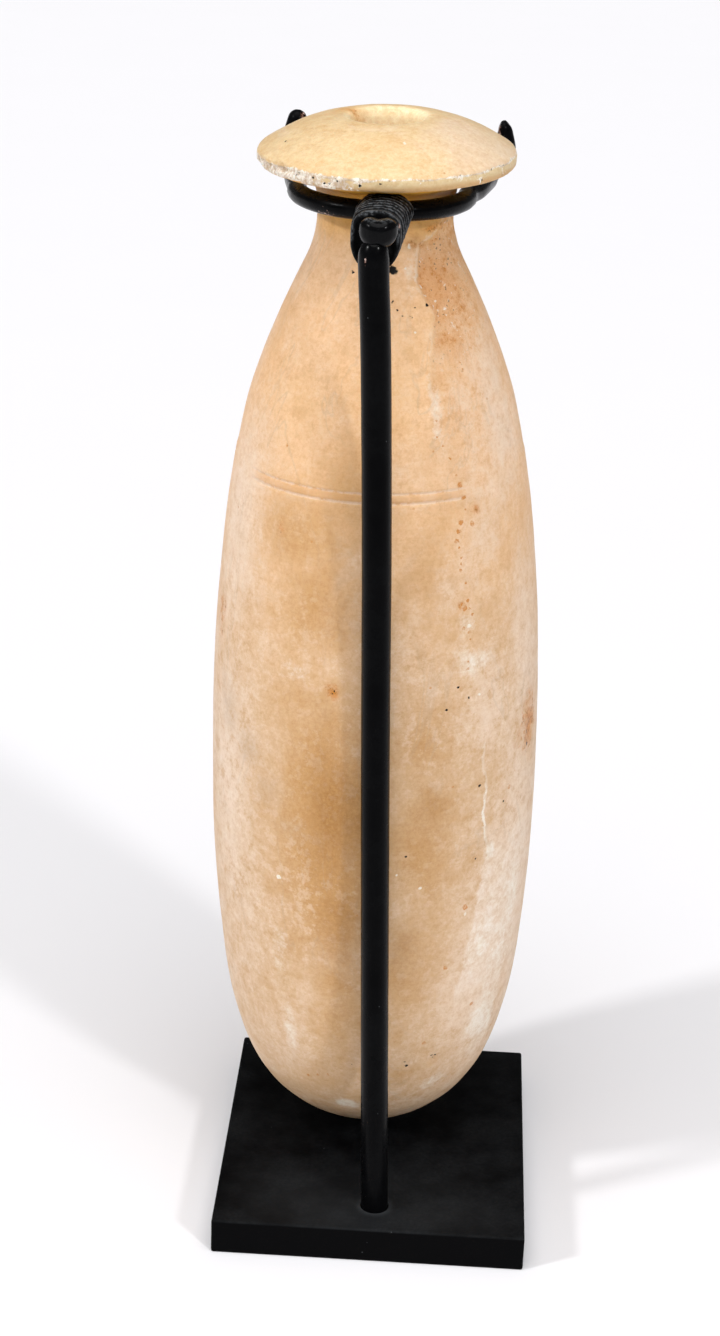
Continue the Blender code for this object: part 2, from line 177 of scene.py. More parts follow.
# Small marks of each kind and radius: angle and height. Those above 244 lie on the disc
MARKS = {
    "black": {
        0.22: (
            (280.2, 216.4), (291.5, 216.8), (295.6, 230.2), (326, 104.5), (257.5, 132.7),
            (258.3, 133.3), (221.5, 246.6), (269.9, 246.3),
        ),
        0.3: (
            (277.7, 218.1), (283.5, 215.3), (296.2, 231.6), (293.4, 229.5), (288.4, 32.4),
            (300.9, 34.2), (299.2, 34.3), (265.8, 33.2), (310.5, 88.6), (301.3, 133.4),
            (305.4, 130.2), (283.5, 92.6), (311, 107.5), (323.5, 100.5), (228.1, 247.35),
            (224.9, 246.5), (254.4, 245.4), (250.6, 246.1), (261, 245.6), (308.2, 246.2),
            (239.2, 246.3), (203.2, 250.31), (244.7, 245.5),
        ),
        0.42: (
            (248.5, 223.5), (288.8, 215), (293.2, 231.9), (287.3, 33.5), (299.9, 32.9),
            (296.7, 128.2), (299.4, 217.2), (339, 111.4), (235, 246.9),
        ),
        0.6: (
            (341, 113.8),
        ),
        0.85: (
            (276.9, 224.5), (278.5, 224.2),
        ),
    },
    "rust": {
        0.3: (
            (303.3, 163.4), (303, 162), (304.8, 157.6), (306.2, 151.4), (306.5, 144.2),
            (299.8, 109), (296.2, 194), (295.8, 190.6), (302.6, 165.8), (313.2, 204.9),
            (231.5, 186.5),
        ),
        0.42: (
            (302.8, 160.6), (303, 152.9), (305.4, 153.4), (303.6, 147), (306, 146),
            (305.5, 139), (305.2, 137.3), (298, 188.6), (300.8, 185.6), (303.2, 181.6),
            (306.4, 174), (307.2, 150), (313.9, 203.2), (334, 114), (245.2, 26.7),
            (250.4, 27.8), (255.1, 28.6), (257.8, 132.9),
        ),
        0.6: (
            (304.2, 151.6), (326.5, 103.5), (308.5, 170.5), (305.6, 176.6), (303.6, 171.4),
            (302.4, 169.4), (336.4, 115), (301.6, 167.4), (300.5, 60.5), (315.1, 46.7),
            (294.8, 39.1),
        ),
        0.85: (
            (307.1, 76.2), (304.6, 179.4), (340.6, 117.8),
        ),
    },
    "white": {
        0.3: (
            (280.6, 88), (287.2, 224.7), (290, 212), (316.5, 217.4),
        ),
        0.42: (
            (307.3, 74.3), (289, 84), (310, 130.4), (283.3, 252.51), (306.5, 217.6),
            (303.2, 219.6), (341.2, 115.8),
        ),
        0.6: (
            (292.4, 229), (305.9, 147.4), (238.5, 83.5), (312, 216),
        ),
    },
}
# Where the disc's edge is crusted and where its top is faded, as angles
CRUST_LEFT = 208.0
CRUST_FRONT = 247.0
DISC_FADED = 335.0
# Painted where the crack and the streak are out of reach
FAR = 50.0
# Chips in the disc's edge: angle, width along the edge, depth, and height on the edge
CHIPS = (
    (196, 5, 0.5, 245.4), (207, 4, 0.6, 246), (214, 5, 0.7, 246.8), (223, 3.5, 0.9, 246.6),
    (231, 3, 0.7, 245.4), (235.5, 2, 0.6, 247), (251, 3, 0.3, 245.6), (263, 2.5, 0.2, 246.9),
    (289, 3, 0.2, 246.6), (308, 2.5, 0.5, 246.7), (318, 3, 0.3, 246.4), (338, 4, 0.3, 246),
    (20, 5, 0.5, 246.2), (64, 3.5, 0.4, 246.8), (105, 6, 0.6, 245.8), (150, 4, 0.5, 246.6),
)
CHIP_HIGH = 1.2
# Colour round the mouth: patch, angle, half width in degrees and strength
MOUTH_STAINS = (
    ("stained", 150, 12, 0.3), ("golden", 156, 30, 0.75), ("chalk", 80, 30, 0.15),
)
# Pits: angle, height, radius and how deep
PITS = (
    (293.2, 231.2, 1.3, 0.5), (293.9, 229.2, 0.8, 0.4), (296.5, 231, 0.6, 0.3),
    (248.5, 223.5, 0.6, 0.4), (277.7, 218.1, 0.6, 0.3), (283.5, 215.3, 0.6, 0.3),
    (288.8, 215, 0.7, 0.4), (287.3, 33.5, 0.8, 0.4), (299.9, 32.7, 0.9, 0.5),
    (265.8, 33.2, 0.6, 0.3), (342, 114.5, 2, 0.7), (336.5, 120.9, 1.5, 0.5),
    (340.4, 108.3, 1.4, 0.4), (307, 179.8, 1.6, 0.4), (306, 174.6, 1.4, 0.4),
    (257.4, 133.4, 0.8, 0.3), (296.7, 128.2, 0.5, 0.3),
)

# Rod, head, coupling and fork of the stand
ROD_FOOT = (1.16, -31.73, 9.0)
ROD_TOP = (-7.43, -31.5, 243.3)
HEAD_MIDDLE = (-6.73, -31.5, 246.75)
HEAD_WIDE = 8.0
HEAD_HIGH = 6.0
HEAD_STEPS = 40
SHOULDER_IN = 1.3
SHOULDER_UP = 4.4
SHOULDER_STEPS = 10
# How far the rod bends to the right of straight, at heights from its foot up
ROD_BOW = (
    (0, 0), (0, 34), (0.11, 84), (0.25, 133), (0.52, 177), (0.36, 220), (-0.12, 239),
    (-0.15, 260),
)
# Bare spots: on the rod as places from its top with reach and strength, and one each on the
# sleeve, from its front, and on the fork, from its middle
ROD_WORN = (
    (-1.45, -2.7, -2.2, 0.66, 1), (-0.2, -3.1, -96, 0.9, 0.9), (0.6, -3, -141, 0.7, 0.8),
)
SLEEVE_WORN = (5.0, 0.3, 4.0)
FORK_WORN = (-10.5, -17.5, -1.8)
# Roughness of the head's shiny paint
HEAD_GLOSS = 0.18
ROD_SIDES = 48
SLEEVE_SIDES = 96
SLEEVE_ROWS = 96
SLEEVE_FRONT = (-7.43, -28.0, 243.8)
SLEEVE_REAR = (-6.13, -12.1, 247.3)
SLEEVE_RIBS = 8.0
SLEEVE_FRONT_SIZE = (10.4, 13.0)
SLEEVE_REAR_SIZE = (12.2, 7.6)
FORK_MIDDLE = (-7.535, 8.685, 246.9)
FORK_SIDE = 18.9
FORK_FRONT = 20.5
FORK_OPENINGS = (2.4, 4.1)
FORK_TIPS_OUT = (0.8, 3.8)
FORK_REACH = 34.9
FORK_BEND = 5.5
FORK_TIP_Z = 12.1
FORK_HOOK = 5.5
FORK_TIP_LEAN = 1.6
# Worn cut of the right tip, from the fork's middle: left side, point and height
TIP_CUT = (25.2, 26.35, 12.5)
TIP_ROUND = 2.6

# Dust on the plate: place, reach and strength
PLATE_DUST = (
    (ROD_FOOT, 5.4, 0.55), (ROD_FOOT, 26.0, 0.06), ((-14.0, -38.0, 9.0), 24.0, 0.06),
    ((22.0, -34.0, 9.0), 20.0, 0.05), ((-24.0, -26.0, 9.0), 16.0, 0.03),
)

# Lights: azimuth, elevation and spread in degrees
LIGHTS = {"right": (-50, 30, 6), "left": (207, 30, 6), "overhead": (-90, 72, 60)}
FLOOR_HALF = 6.0
# Camera at the photograph's viewing angle
CAMERA_PLACE = (0.01123253522, -0.52594222671, 0.35829831571)
CAMERA_TURN_DEG = (67.14105, -1.954375, 2.954294)
CAMERA_LENS = 65.69
SENSOR = 36.0


def linear(red, green, blue):
    """Shader colour from the 0 to 255 values of a paint chart."""
    values = []
    for part in (red, green, blue):
        share = part / 255.0
        low = share / 12.92
        values.append(low if share <= 0.04045 else ((share + 0.055) / 1.055) ** 2.4)
    return (*values, 1.0)


def colour(name, description, red, green, blue):
    return FloatVectorProperty(
        name=name, description=description, subtype="COLOR", size=4, min=0.0, max=1.0,
        default=linear(red, green, blue),
    )


def length(name, description, millimetres):
    return FloatProperty(
        name=name, description=description, unit="LENGTH", subtype="DISTANCE",
        default=millimetres * MM, min=0.0,
    )


def power(name, description, share):
    return FloatProperty(name=name, description=description, default=share, min=0.0)


class VesselLooks(bpy.types.PropertyGroup):
    belly: length("Belly radius", "Widest radius of the body", 39.0)
    neck: length("Neck radius", "Radius of the neck under the disc", 15.3)
    disc: length("Disc radius", "Radius of the rim disc", 28.4)
    bore: length("Mouth radius", "Radius of the mouth's bore", 7.6)
    honey: colour("Honey", "Warm alabaster of the shoulder", 232, 183, 130)
    body: colour("Body", "Duller alabaster of the lower body", 212, 176, 136)
    pale: colour("Pale", "Bleached alabaster", 236, 212, 189)
    # Golden brown also serves as painted shade at the front middle, beside the rod, and on the
    # lower corner of the disc's edge
    golden: colour("Golden brown", "Darker mottling in the stone", 194, 147, 91)
    # Dusky brown serves as painted shade of the rod beside it, and as dirt in the stains
    dusky: colour("Dusky brown", "Darkest golden stone beside the rod", 160, 112, 56)
    # Painted glow of light through the stone, below the neck
    upper_painted_glow: colour("Glow", "Clear golden stone of the upper body", 238, 194, 142)
    # The throat's bright colour is a painted glow of light through the stone
    cream: colour("Disc cream", "Yellow cream of the disc", 232, 202, 156)
    throat_painted_glow: colour("Throat", "Bright stone inside the mouth", 255, 234, 192)
    orange: colour("Orange", "Warm stone inside the mouth", 226, 170, 104)
    disc_brown: colour("Disc brown", "Darker clouds of the disc", 216, 172, 116)
    # Amber is a painted glow and shade under the disc and round the neck's top
    amber: colour("Amber", "Deep amber where light comes through the disc", 220, 158, 50)
    scar: colour("Scar", "Raw stone right of the crack", 224, 168, 117)
    scar_light: colour("Pale scar", "Paler raw stone", 232, 190, 148)
    rim: colour("Rim", "Weathered edge of the disc", 222, 198, 154)
    # Crust also serves as the painted highlight along the crack's edge
    crust: colour("Crust", "White chalky crust and streaks", 242, 234, 220)
    stain: colour("Stain", "Orange brown stains", 196, 124, 46)
    ashen: colour("Ashen", "Bleached stone beside the white streak", 236, 216, 196)
    vein: colour("Vein", "Grey brown veining", 190, 164, 138)
    pit: colour("Pit", "Dark dirt in the pits", 17, 14, 11)


class StandLooks(bpy.types.PropertyGroup):
    rod: length("Rod radius", "Radius of the upright rod", 3.25)
    wire: length("Wire radius", "Radius of the fork's wire", 2.2)
    black: colour("Paint", "Black satin paint", 4, 4, 5)
    # Dust also serves as the painted highlights along ridges and edges of the head and sleeve
    dust: colour("Dust", "Grey dust that has settled on the paint", 84, 87, 90)
    rust: colour("Worn metal", "Brown metal where the paint has gone", 96, 64, 52)
    steel: colour("Bare metal", "Clean metal where the paint has chipped", 204, 180, 172)


class StageLooks(bpy.types.PropertyGroup):
    floor: colour("Floor", "Pale floor", 244, 243, 246)
    left: power("Left light", "Strength of the light at the front left", 1.32)
    right: power("Right light", "Strength of the light at the front right", 1.0)
    top: power("Overhead light", "Strength of the light above", 2.2)
    fill: power("Fill", "Strength of the even light all round", 0.12)


# ---- shaping helpers -------------------------------------------------------

def smooth_through(points, steps):
    """Points on a smooth curve through the given ones, with steps between two."""
    result = []
    last = len(points) - 1
    for i in range(last):
        before = Vector(points[max(i - 1, 0)])
        start = Vector(points[i])
        end = Vector(points[i + 1])
        after = Vector(points[min(i + 2, last)])
        for k in range(steps):
            t = k / steps
            bend = 2.0 * before - 5.0 * start + 4.0 * end - after
            twist = 3.0 * start - before - 3.0 * end + after
            result.append(start + 0.5 * ((end - before) * t + bend * t ** 2 + twist * t ** 3))
    result.append(Vector(points[last]))
    return result


def spaced(points, spacing):
    """Points along a line at a spacing that may change with the place."""
    result = [points[0]]
    left = spacing(points[0])
    for start, end in zip(points, points[1:]):
        span = (end - start).length
        gone = 0.0
        while span - gone >= left:
            gone += left
            result.append(start.lerp(end, gone / span))
            left = spacing(result[-1])
        left -= span - gone
    if (result[-1] - points[-1]).length > 0.3 * spacing(points[-1]):
        result.append(points[-1])
    else:
        result[-1] = points[-1]
    return result


def turned(profile, sides):
    """Shape turned on the lathe from radius and height points."""
    bm = bmesh.new()
    verts = [bm.verts.new((r, 0.0, h)) for r, h in profile]
    edges = [bm.edges.new(pair) for pair in zip(verts, verts[1:])]
    bmesh.ops.spin(
        bm, geom=verts + edges, cent=(0.0, 0.0, 0.0), axis=(0.0, 0.0, 1.0),
        angle=tau, steps=sides, use_merge=True,
    )
    bmesh.ops.remove_doubles(bm, verts=bm.verts, dist=0.0005)
    bmesh.ops.recalc_face_normals(bm, faces=bm.faces)
    return bm


def finish_piece(name, bm, node, material):
    """Make the piece from its mesh, let it stand for its node and dress it."""
    bmesh.ops.scale(bm, vec=(MM, MM, MM), verts=bm.verts)
    for face in bm.faces:
        face.smooth = True
    mesh = bpy.data.meshes.new(name)
    bm.to_mesh(mesh)
    bm.free()
    obj = bpy.data.objects.new(name, mesh)
    bpy.context.scene.collection.objects.link(obj)
    obj.data.materials.append(material)
    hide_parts(node)
    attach(obj, "root")


def rough(place, size):
    """Natural unevenness, about -1 to 1, with features of a size."""
    return noise.fractal(place / size, 1.0, 2.0, 4)


def ramp(low, high, value):
    """Share from 0 to 1 as a value goes from low to high, eased at both ends."""
    share = min(max((value - low) / (high - low), 0.0), 1.0)
    return share * share * (3.0 - 2.0 * share)


def turn_between(angle, other):
    """Signed turn in degrees from the other angle to this one."""
    return (angle - other + 180.0) % 360.0 - 180.0


def along_round(angle, other, radius):
    """Signed way round the stone from the other angle to this one."""
    return radians(turn_between(angle, other)) * radius


def off_line(line, angle, height, radius):
    """Distance in mm to a line drawn on the stone, above 0 to its right."""
    nearest = None
    for (a1, h1), (a2, h2) in zip(line, line[1:]):
        turn1, turn2 = turn_between(a1, angle), turn_between(a2, angle)
        if abs(turn1 - turn2) > 180.0:
            continue
        x1, x2 = radians(turn1) * radius, radians(turn2) * radius
        along = Vector((x2 - x1, h2 - h1))
        away = Vector((-x1, height - h1))
        share = min(max(away.dot(along) / along.length_squared, 0.0), 1.0)
        gap = away - along * share
        side = along.x * away.y - along.y * away.x
        if nearest is None or gap.length < abs(nearest):
            nearest = copysign(gap.length, side)
    return nearest


# ---- vessel ----------------------------------------------------------------

def vessel_matrix():
    lean_x = Matrix.Rotation(radians(VESSEL_LEAN_X_DEG), 4, "Y")
    lean_y = Matrix.Rotation(radians(VESSEL_LEAN_Y_DEG), 4, "X")
    return Matrix.Translation(VESSEL_FOOT) @ lean_x @ lean_y


def body_outline(looks):
    """Outer body from the foot up to the disc, as radius and height."""
    belly, neck = looks.belly / MM, looks.neck / MM
    rise = NECK_H - BELLY_H
    points = [Vector((r * belly, h * BELLY_H)) for h, r in LOWER_FORM]
    points += [Vector((neck + r * (belly - neck), BELLY_H + h * rise)) for h, r in UPPER_FORM]
    return points + [Vector((neck, NECK_TOP))]


def radius_at(outline, height):
    for low, high in zip(outline, outline[1:]):
        if low.y <= height <= high.y:
            return low.x + (high.x - low.x) * (height - low.y) / (high.y - low.y)
    return outline[-1].x


def vessel_profile(looks):
    """Profile of the vessel from the cavity's floor over the disc to the foot."""
    belly, neck = looks.belly / MM, looks.neck / MM
    disc, bore = looks.disc / MM, looks.bore / MM

    def dome(radius):
        part = (radius - DOME_FLAT_R) / (disc - DOME_FLAT_R)
        return DISC_HIGH + DISC_DOME * (1.0 - part ** 2)

    inner = belly - WALL
    cavity = [(r * inner, FLOOR_THICK + (BELLY_H - FLOOR_THICK) * h) for h, r in LOWER_FORM]
    rise = NECK_H - BELLY_H
    cavity += [(bore + r * (inner - bore), BELLY_H + h * rise) for h, r in UPPER_FORM]
    edge = bore + LIP_WIDE
    top = dome(edge)
    cavity = [Vector(p) for p in cavity]
    cavity += [Vector((bore, h)) for h in (NECK_TOP, 243.0, top - 2.6 * LIP_DROP)]
    lip = [(bore + out * LIP_WIDE, top - down * LIP_DROP) for out, down in LIP_FORM]
    roof = []
    for i in range(1, ROOF_STEPS + 1):
        radius = edge + (disc - 0.8 - edge) * i / ROOF_STEPS
        roof.append((radius, dome(radius)))
    rim = [(disc - inset, DISC_HIGH + up) for inset, up in RIM_HIGH_FORM]
    rim += [(disc - inset, DISC_LOW + up) for inset, up in RIM_LOW_FORM]
    under = []
    for share_out, share_up in NECK_FILLET_FORM:
        under.append((neck + NECK_FILLET_OUT * share_out, NECK_TOP + NECK_FILLET_UP * share_up))
    body = body_outline(looks)

    def body_step(place):
        near_lines = abs(place.y - 0.5 * sum(LINES_H)) < 3.0
        return 0.28 if near_lines else (0.8 if place.y > 190.0 else 1.3)

    inside = spaced(smooth_through(cavity, 6), lambda place: 7.0 if place.y < 225.0 else 2.0)
    over = spaced(smooth_through([inside[-1]] + [Vector(p) for p in lip + roof], 6),
                  lambda place: 0.4 if place.x < edge + 1.0 or place.x > disc - 3.0 else 1.0)
    edge_line = spaced(smooth_through([over[-1]] + [Vector(p) for p in rim], 6), lambda _: 0.3)
    below = spaced(smooth_through([edge_line[-1]] + [Vector(p) for p in under], 8), lambda _: 0.8)
    outside = spaced(smooth_through(body, 12)[::-1], body_step)
    return inside + over[1:] + edge_line[1:] + below[1:] + outside[1:]


def brushed(patches, angle, height, radius):
    """Strength of a set of soft patches at a point of the stone."""
    most = 0.0
    for at, level, wide, tall, strength in patches:
        across = along_round(angle, at, radius) / wide
        upward = (height - level) / tall
        apart = across * across + upward * upward
        if apart < 6.0:
            most = max(most, strength * exp(-apart))
    return most


def mouth_stains(angle, share):
    """Strength of the stains round the mouth, by the patch whose colour they have."""
    found = {}
    for name, at, wide, strength in MOUTH_STAINS:
        across = turn_between(angle, at) / wide
        found[name] = strength * share * exp(-across * across)
    return found


def age_disc(place, painted, angle, radius, height, disc):
    """Chip the disc's edge and paint where its crust lies. Gives the push outward."""
    rim = ramp(disc - 4.5, disc - 0.5, radius)
    ragged = rough(place, 2.4)
    bitten = 0.0
    push = 0.10 * rough(place, 9.0)
    for at, wide, deep, level in CHIPS:
        across = along_round(angle, at, disc) / wide
        upward = (height - level) / CHIP_HIGH
        bite = max(0.0, 1.0 - across ** 2 - upward ** 2 + 0.6 * ragged)
        push -= deep * min(bite, 0.7) * rim
        bitten = max(bitten, min(1.0, 1.5 * bite) * rim)
    left = ramp(40.0, 14.0, abs(turn_between(angle, CRUST_LEFT)))
    front = ramp(26.0, 6.0, abs(turn_between(angle, CRUST_FRONT)))
    thin = ramp(221.0, 208.0, angle) * ramp(150.0, 190.0, angle)
    drop = DISC_HIGH - height + 0.2 * left - 0.75 * thin + 0.25 * rough(place, 4.5)
    # Where the painted amber glow and shade go under the disc
    under = ramp(DISC_LOW + 0.4, DISC_LOW - 0.3, height) * ramp(disc, disc - 1.0, radius)
    band = ramp(-0.2, 0.5, drop) * ramp(disc - 2.4, disc - 0.8, radius)
    faded = exp(-(turn_between(angle, DISC_FADED) / 42.0) ** 2)
    painted.update(
        mouth_stains(angle, ramp(disc * 0.55, disc * 0.4, radius)),
        disc=1.0,
        chipped=min(1.0, 0.95 * left + 0.5 * front + 0.3 * bitten),
        shaded=under,
        mouth=ramp(disc * 0.36, disc * 0.30, radius),
        bleached=0.8 * faded * ramp(8.0, 16.0, radius),
    )
    if radius > disc - 6.0 and under < 0.5:
        painted["rim_drop"] = drop
    return push - 0.45 * band * max(0.0, rough(place, 1.6)) * (0.3 + 0.7 * left)


def age_body(place, painted, angle, radius, height):
    """Wave the body, open the crack and the pits, cut the lines. Gives the push outward."""
    calm = ramp(NECK_TOP, NECK_TOP - 6.0, height)
    push = calm * (0.12 * rough(place, 34.0) + 0.03 * rough(place, 9.0))
    push -= 0.16 * ramp(179.2, 179.8, height) * ramp(204.0, 180.0, height)
    side = off_line(CRACK, angle, height, max(radius, 1.0)) if height > 120.0 else -FAR
    upper = ramp(180.0, 205.0, height)
    reach = ramp(172.0, 190.0, height)
    band = ramp(22.0, 5.0, side) if side > 0.0 else 0.0
    if side > -3.0:
        step = ramp(-0.5, 0.9, side + 0.5 * rough(place, 3.0)) * ramp(16.0, 3.0, side)
        push -= calm * reach * (0.08 + 0.26 * upper) * step
        push += 0.06 * calm * reach * exp(-((side + 0.9) / 0.8) ** 2)
        push += 0.09 * calm * reach * upper * band * rough(place, 2.2)
    share = ramp(LINES_FROM - 6.0, LINES_FROM + 6.0, angle)
    share *= ramp(LINES_TO + 3.0, LINES_TO - 2.0, angle)
    cuts = []
    for level in LINES_H:
        across = (height - level) / (0.5 * LINE_WIDE)
        cuts.append(max(0.0, 1.0 - across ** 2) * share)
        push -= LINE_DEEP * cuts[-1]
    inside_lines = ramp(LINES_H[0] - 0.4, LINES_H[0], height)
    inside_lines *= ramp(LINES_H[1] + 0.4, LINES_H[1], height)
    for at, level, size, deep in PITS:
        apart = hypot(along_round(angle, at, radius), height - level) / (1.5 * size)
        if apart < 1.0:
            push -= deep * (1.0 - apart ** 2)
    painted.update(
        {name: brushed(patches, angle, height, radius) for name, patches in PATCHES.items()},
        # Painted amber glow and shade round the neck's top, under the disc
        shaded=0.75 * ramp(226.0, 236.0, height),
        scar_side=side,
        scar=band * reach * (0.10 + 0.20 * upper + 0.7 * ramp(203.0, 215.0, height)),
        line=max(cuts),
        lines_band=inside_lines * share,
    )
    if 20.0 < height < 125.0:
        painted["streak"] = off_line(STREAK, angle, height, max(radius, 1.0))
    return push


def age_stone(bm, looks):
    """Cut, crack and chip the stone, and paint on the mesh where its colours lie."""
    disc, bore = looks.disc / MM, looks.bore / MM
    plain = {"scar_side": -FAR, "streak": FAR, "rim_drop": -5.0}
    names = ["scar", "line", "lines_band", "disc", "chipped", "shaded", "mouth"]
    layer = {name: bm.verts.layers.float.new(name) for name in [*plain, *names, *PATCHES]}
    bm.normal_update()
    split = NECK_TOP + 0.5 * NECK_FILLET_UP
    for vertex in bm.verts:
        place, normal = vertex.co.copy(), vertex.normal.copy()
        radius, height = hypot(place.x, place.y), place.z
        angle = degrees(atan2(place.y, place.x)) % 360.0
        painted = dict(plain)
        inward = normal.x * place.x + normal.y * place.y < 0.0
        if radius < bore + 0.3 * LIP_WIDE and height > 200.0 or inward and 11.0 < height < split:
            painted.update(
                mouth_stains(angle, ramp(236.0, 246.0, height)),
                disc=ramp(215.0, 245.0, height), mouth=ramp(234.0, 244.0, height),
            )
        elif height > split:
            vertex.co += normal * age_disc(place, painted, angle, radius, height, disc)
        else:
            vertex.co += normal * age_body(place, painted, angle, radius, height)
        for name, value in painted.items():
            vertex[layer[name]] = value


def disc_lean():
    lean = Matrix.Rotation(radians(DISC_LEAN_X_DEG), 3, "Y")
    return lean @ Matrix.Rotation(radians(DISC_LEAN_Y_DEG), 3, "X")


def tilt_disc(bm):
    disc = [v for v in bm.verts if v.co.z > NECK_TOP + 0.1 * NECK_FILLET_UP]
    bmesh.ops.rotate(
        bm, verts=disc, matrix=disc_lean(), space=Matrix.Translation((0.0, 0.0, -NECK_TOP)),
    )


# ---- materials -------------------------------------------------------------

def fill(tree, node, inputs):
    """Give a node's sockets their values, or links from other sockets."""
    for key, value in inputs.items():
        if isinstance(value, bpy.types.NodeSocket):
            tree.links.new(value, node.inputs[key])
        else:
            node.inputs[key].default_value = value


def add(tree, kind, inputs=None, **settings):
    """Shader node with its settings and inputs."""
    node = tree.nodes.new(kind)
    for name, value in settings.items():
        setattr(node, name, value)
    fill(tree, node, inputs or {})
    return node


def after(kind, inputs, **settings):
    """Shader node in the same tree as the sockets that lead to it."""
    sockets = [value for value in inputs.values() if isinstance(value, bpy.types.NodeSocket)]
    return add(sockets[0].id_data, kind, inputs, **settings)


def grain(place, size, detail=4.0, roughness=0.55, bend=0.0):
    """Noise with features of a size in mm."""
    return after("ShaderNodeTexNoise", {
        "Vector": place, "Scale": 1.0 / size, "Detail": detail, "Roughness": roughness,
        "Distortion": bend,
    }).outputs["Fac"]


def scattered(place, scale):
    """Distance to the nearest of many scattered points."""
    return after("ShaderNodeTexVoronoi", {"Vector": place, "Scale": scale}).outputs["Distance"]


def stretched(place, scale, turn=(0.0, 0.0, 0.0)):
    """Places scaled and turned, for noise that runs in one direction."""
    inputs = {"Vector": place, "Rotation": turn, "Scale": scale}
    return after("ShaderNodeMapping", inputs).outputs["Vector"]


def between(value, low, high, to_low=0.0, to_high=1.0):
    """Value mapped smoothly from one range to another."""
    return after("ShaderNodeMapRange", {
        "Value": value, "From Min": low, "From Max": high, "To Min": to_low, "To Max": to_high,
    }, interpolation_type="SMOOTHSTEP").outputs["Result"]


def worked(operation, *values):
    """Values taken together, one after the other, by an operation of the Math node."""
    result = values[0]
    for value in values[1:]:
        result = after("ShaderNodeMath", {0: result, 1: value}, operation=operation).outputs[0]
    return result


def total(*values):
    return worked("ADD", *values)


def times(*values):
    return worked("MULTIPLY", *values)


def shaken(value, strength):
    """Noise counted from its middle, to move another value by."""
    return times(total(value, -0.5), strength)


def unsigned(value):
    return after("ShaderNodeMath", {0: value}, operation="ABSOLUTE").outputs[0]


def vectors(operation, first, second):
    """Outputs of a Vector Math node."""
    return after("ShaderNodeVectorMath", {0: first, 1: second}, operation=operation).outputs


def height_of(place):
    return after("ShaderNodeSeparateXYZ", {0: place}).outputs["Z"]


def bumped(relief, strength, deep):
    inputs = {"Height": relief, "Strength": strength, "Distance": deep}
    return after("ShaderNodeBump", inputs).outputs["Normal"]


def mixed(share, first, second, blend="MIX"):
    return after("ShaderNodeMix", {0: share, 6: first, 7: second},
                 data_type="RGBA", blend_type=blend).outputs[2]


def coated(tone, *coats):
    """Colour with coats over it, each given as its mask, strength and colour."""
    for mask, strength, paint in coats:
        tone = mixed(times(mask, strength), tone, paint)
    return tone


def painted_on(tree, name):
    """Value that the mesh carries for each point."""
    return add(tree, "ShaderNodeAttribute", attribute_name=name).outputs["Fac"]


def new_material(name):
    material = bpy.data.materials.new(name)
    material.use_nodes = True
    tree = material.node_tree
    return material, tree, tree.nodes["Principled BSDF"]


def millimetres(tree, place=(0.0, 0.0, 0.0)):
    """Object coordinates in mm, counted from a place on the piece."""
    coords = add(tree, "ShaderNodeTexCoord").outputs["Object"]
    return add(tree, "ShaderNodeMapping", {
        "Vector": coords, "Scale": (1.0 / MM,) * 3, "Location": [-p for p in place],
    }).outputs["Vector"]


def nearby(here, marks):
    """Mask of small round marks, given as their places for each radius."""
    spots = []
    for radius, places in marks.items():
        apart = [vectors("DISTANCE", here, place)["Value"] for place in places]
        spots.append(between(worked("MINIMUM", *apart), radius * 1.15, radius * 0.75))
    return worked("MAXIMUM", *spots)


def mark_places(looks, marks):
    """Places of marks on the stone, counted in mm from the vessel's foot."""
    lean = vessel_matrix().to_3x3()
    pivot = Vector((0.0, 0.0, NECK_TOP))
    outline = smooth_through(body_outline(looks), 6)
    disc = looks.disc / MM
    found = []
    for angle, height in marks:
        radius = radius_at(outline, height)
        if height > DISC_LOW:
            part = sqrt(max(0.0, 1.0 - (height - DISC_HIGH) / DISC_DOME))
            radius = min(disc, DOME_FLAT_R + part * (disc - DOME_FLAT_R))
        turn = radians(angle)
        spot = Vector((radius * cos(turn), radius * sin(turn), height))
        if height > DISC_LOW:
            spot = disc_lean() @ (spot - pivot) + pivot
        found.append(lean @ spot)
    return found


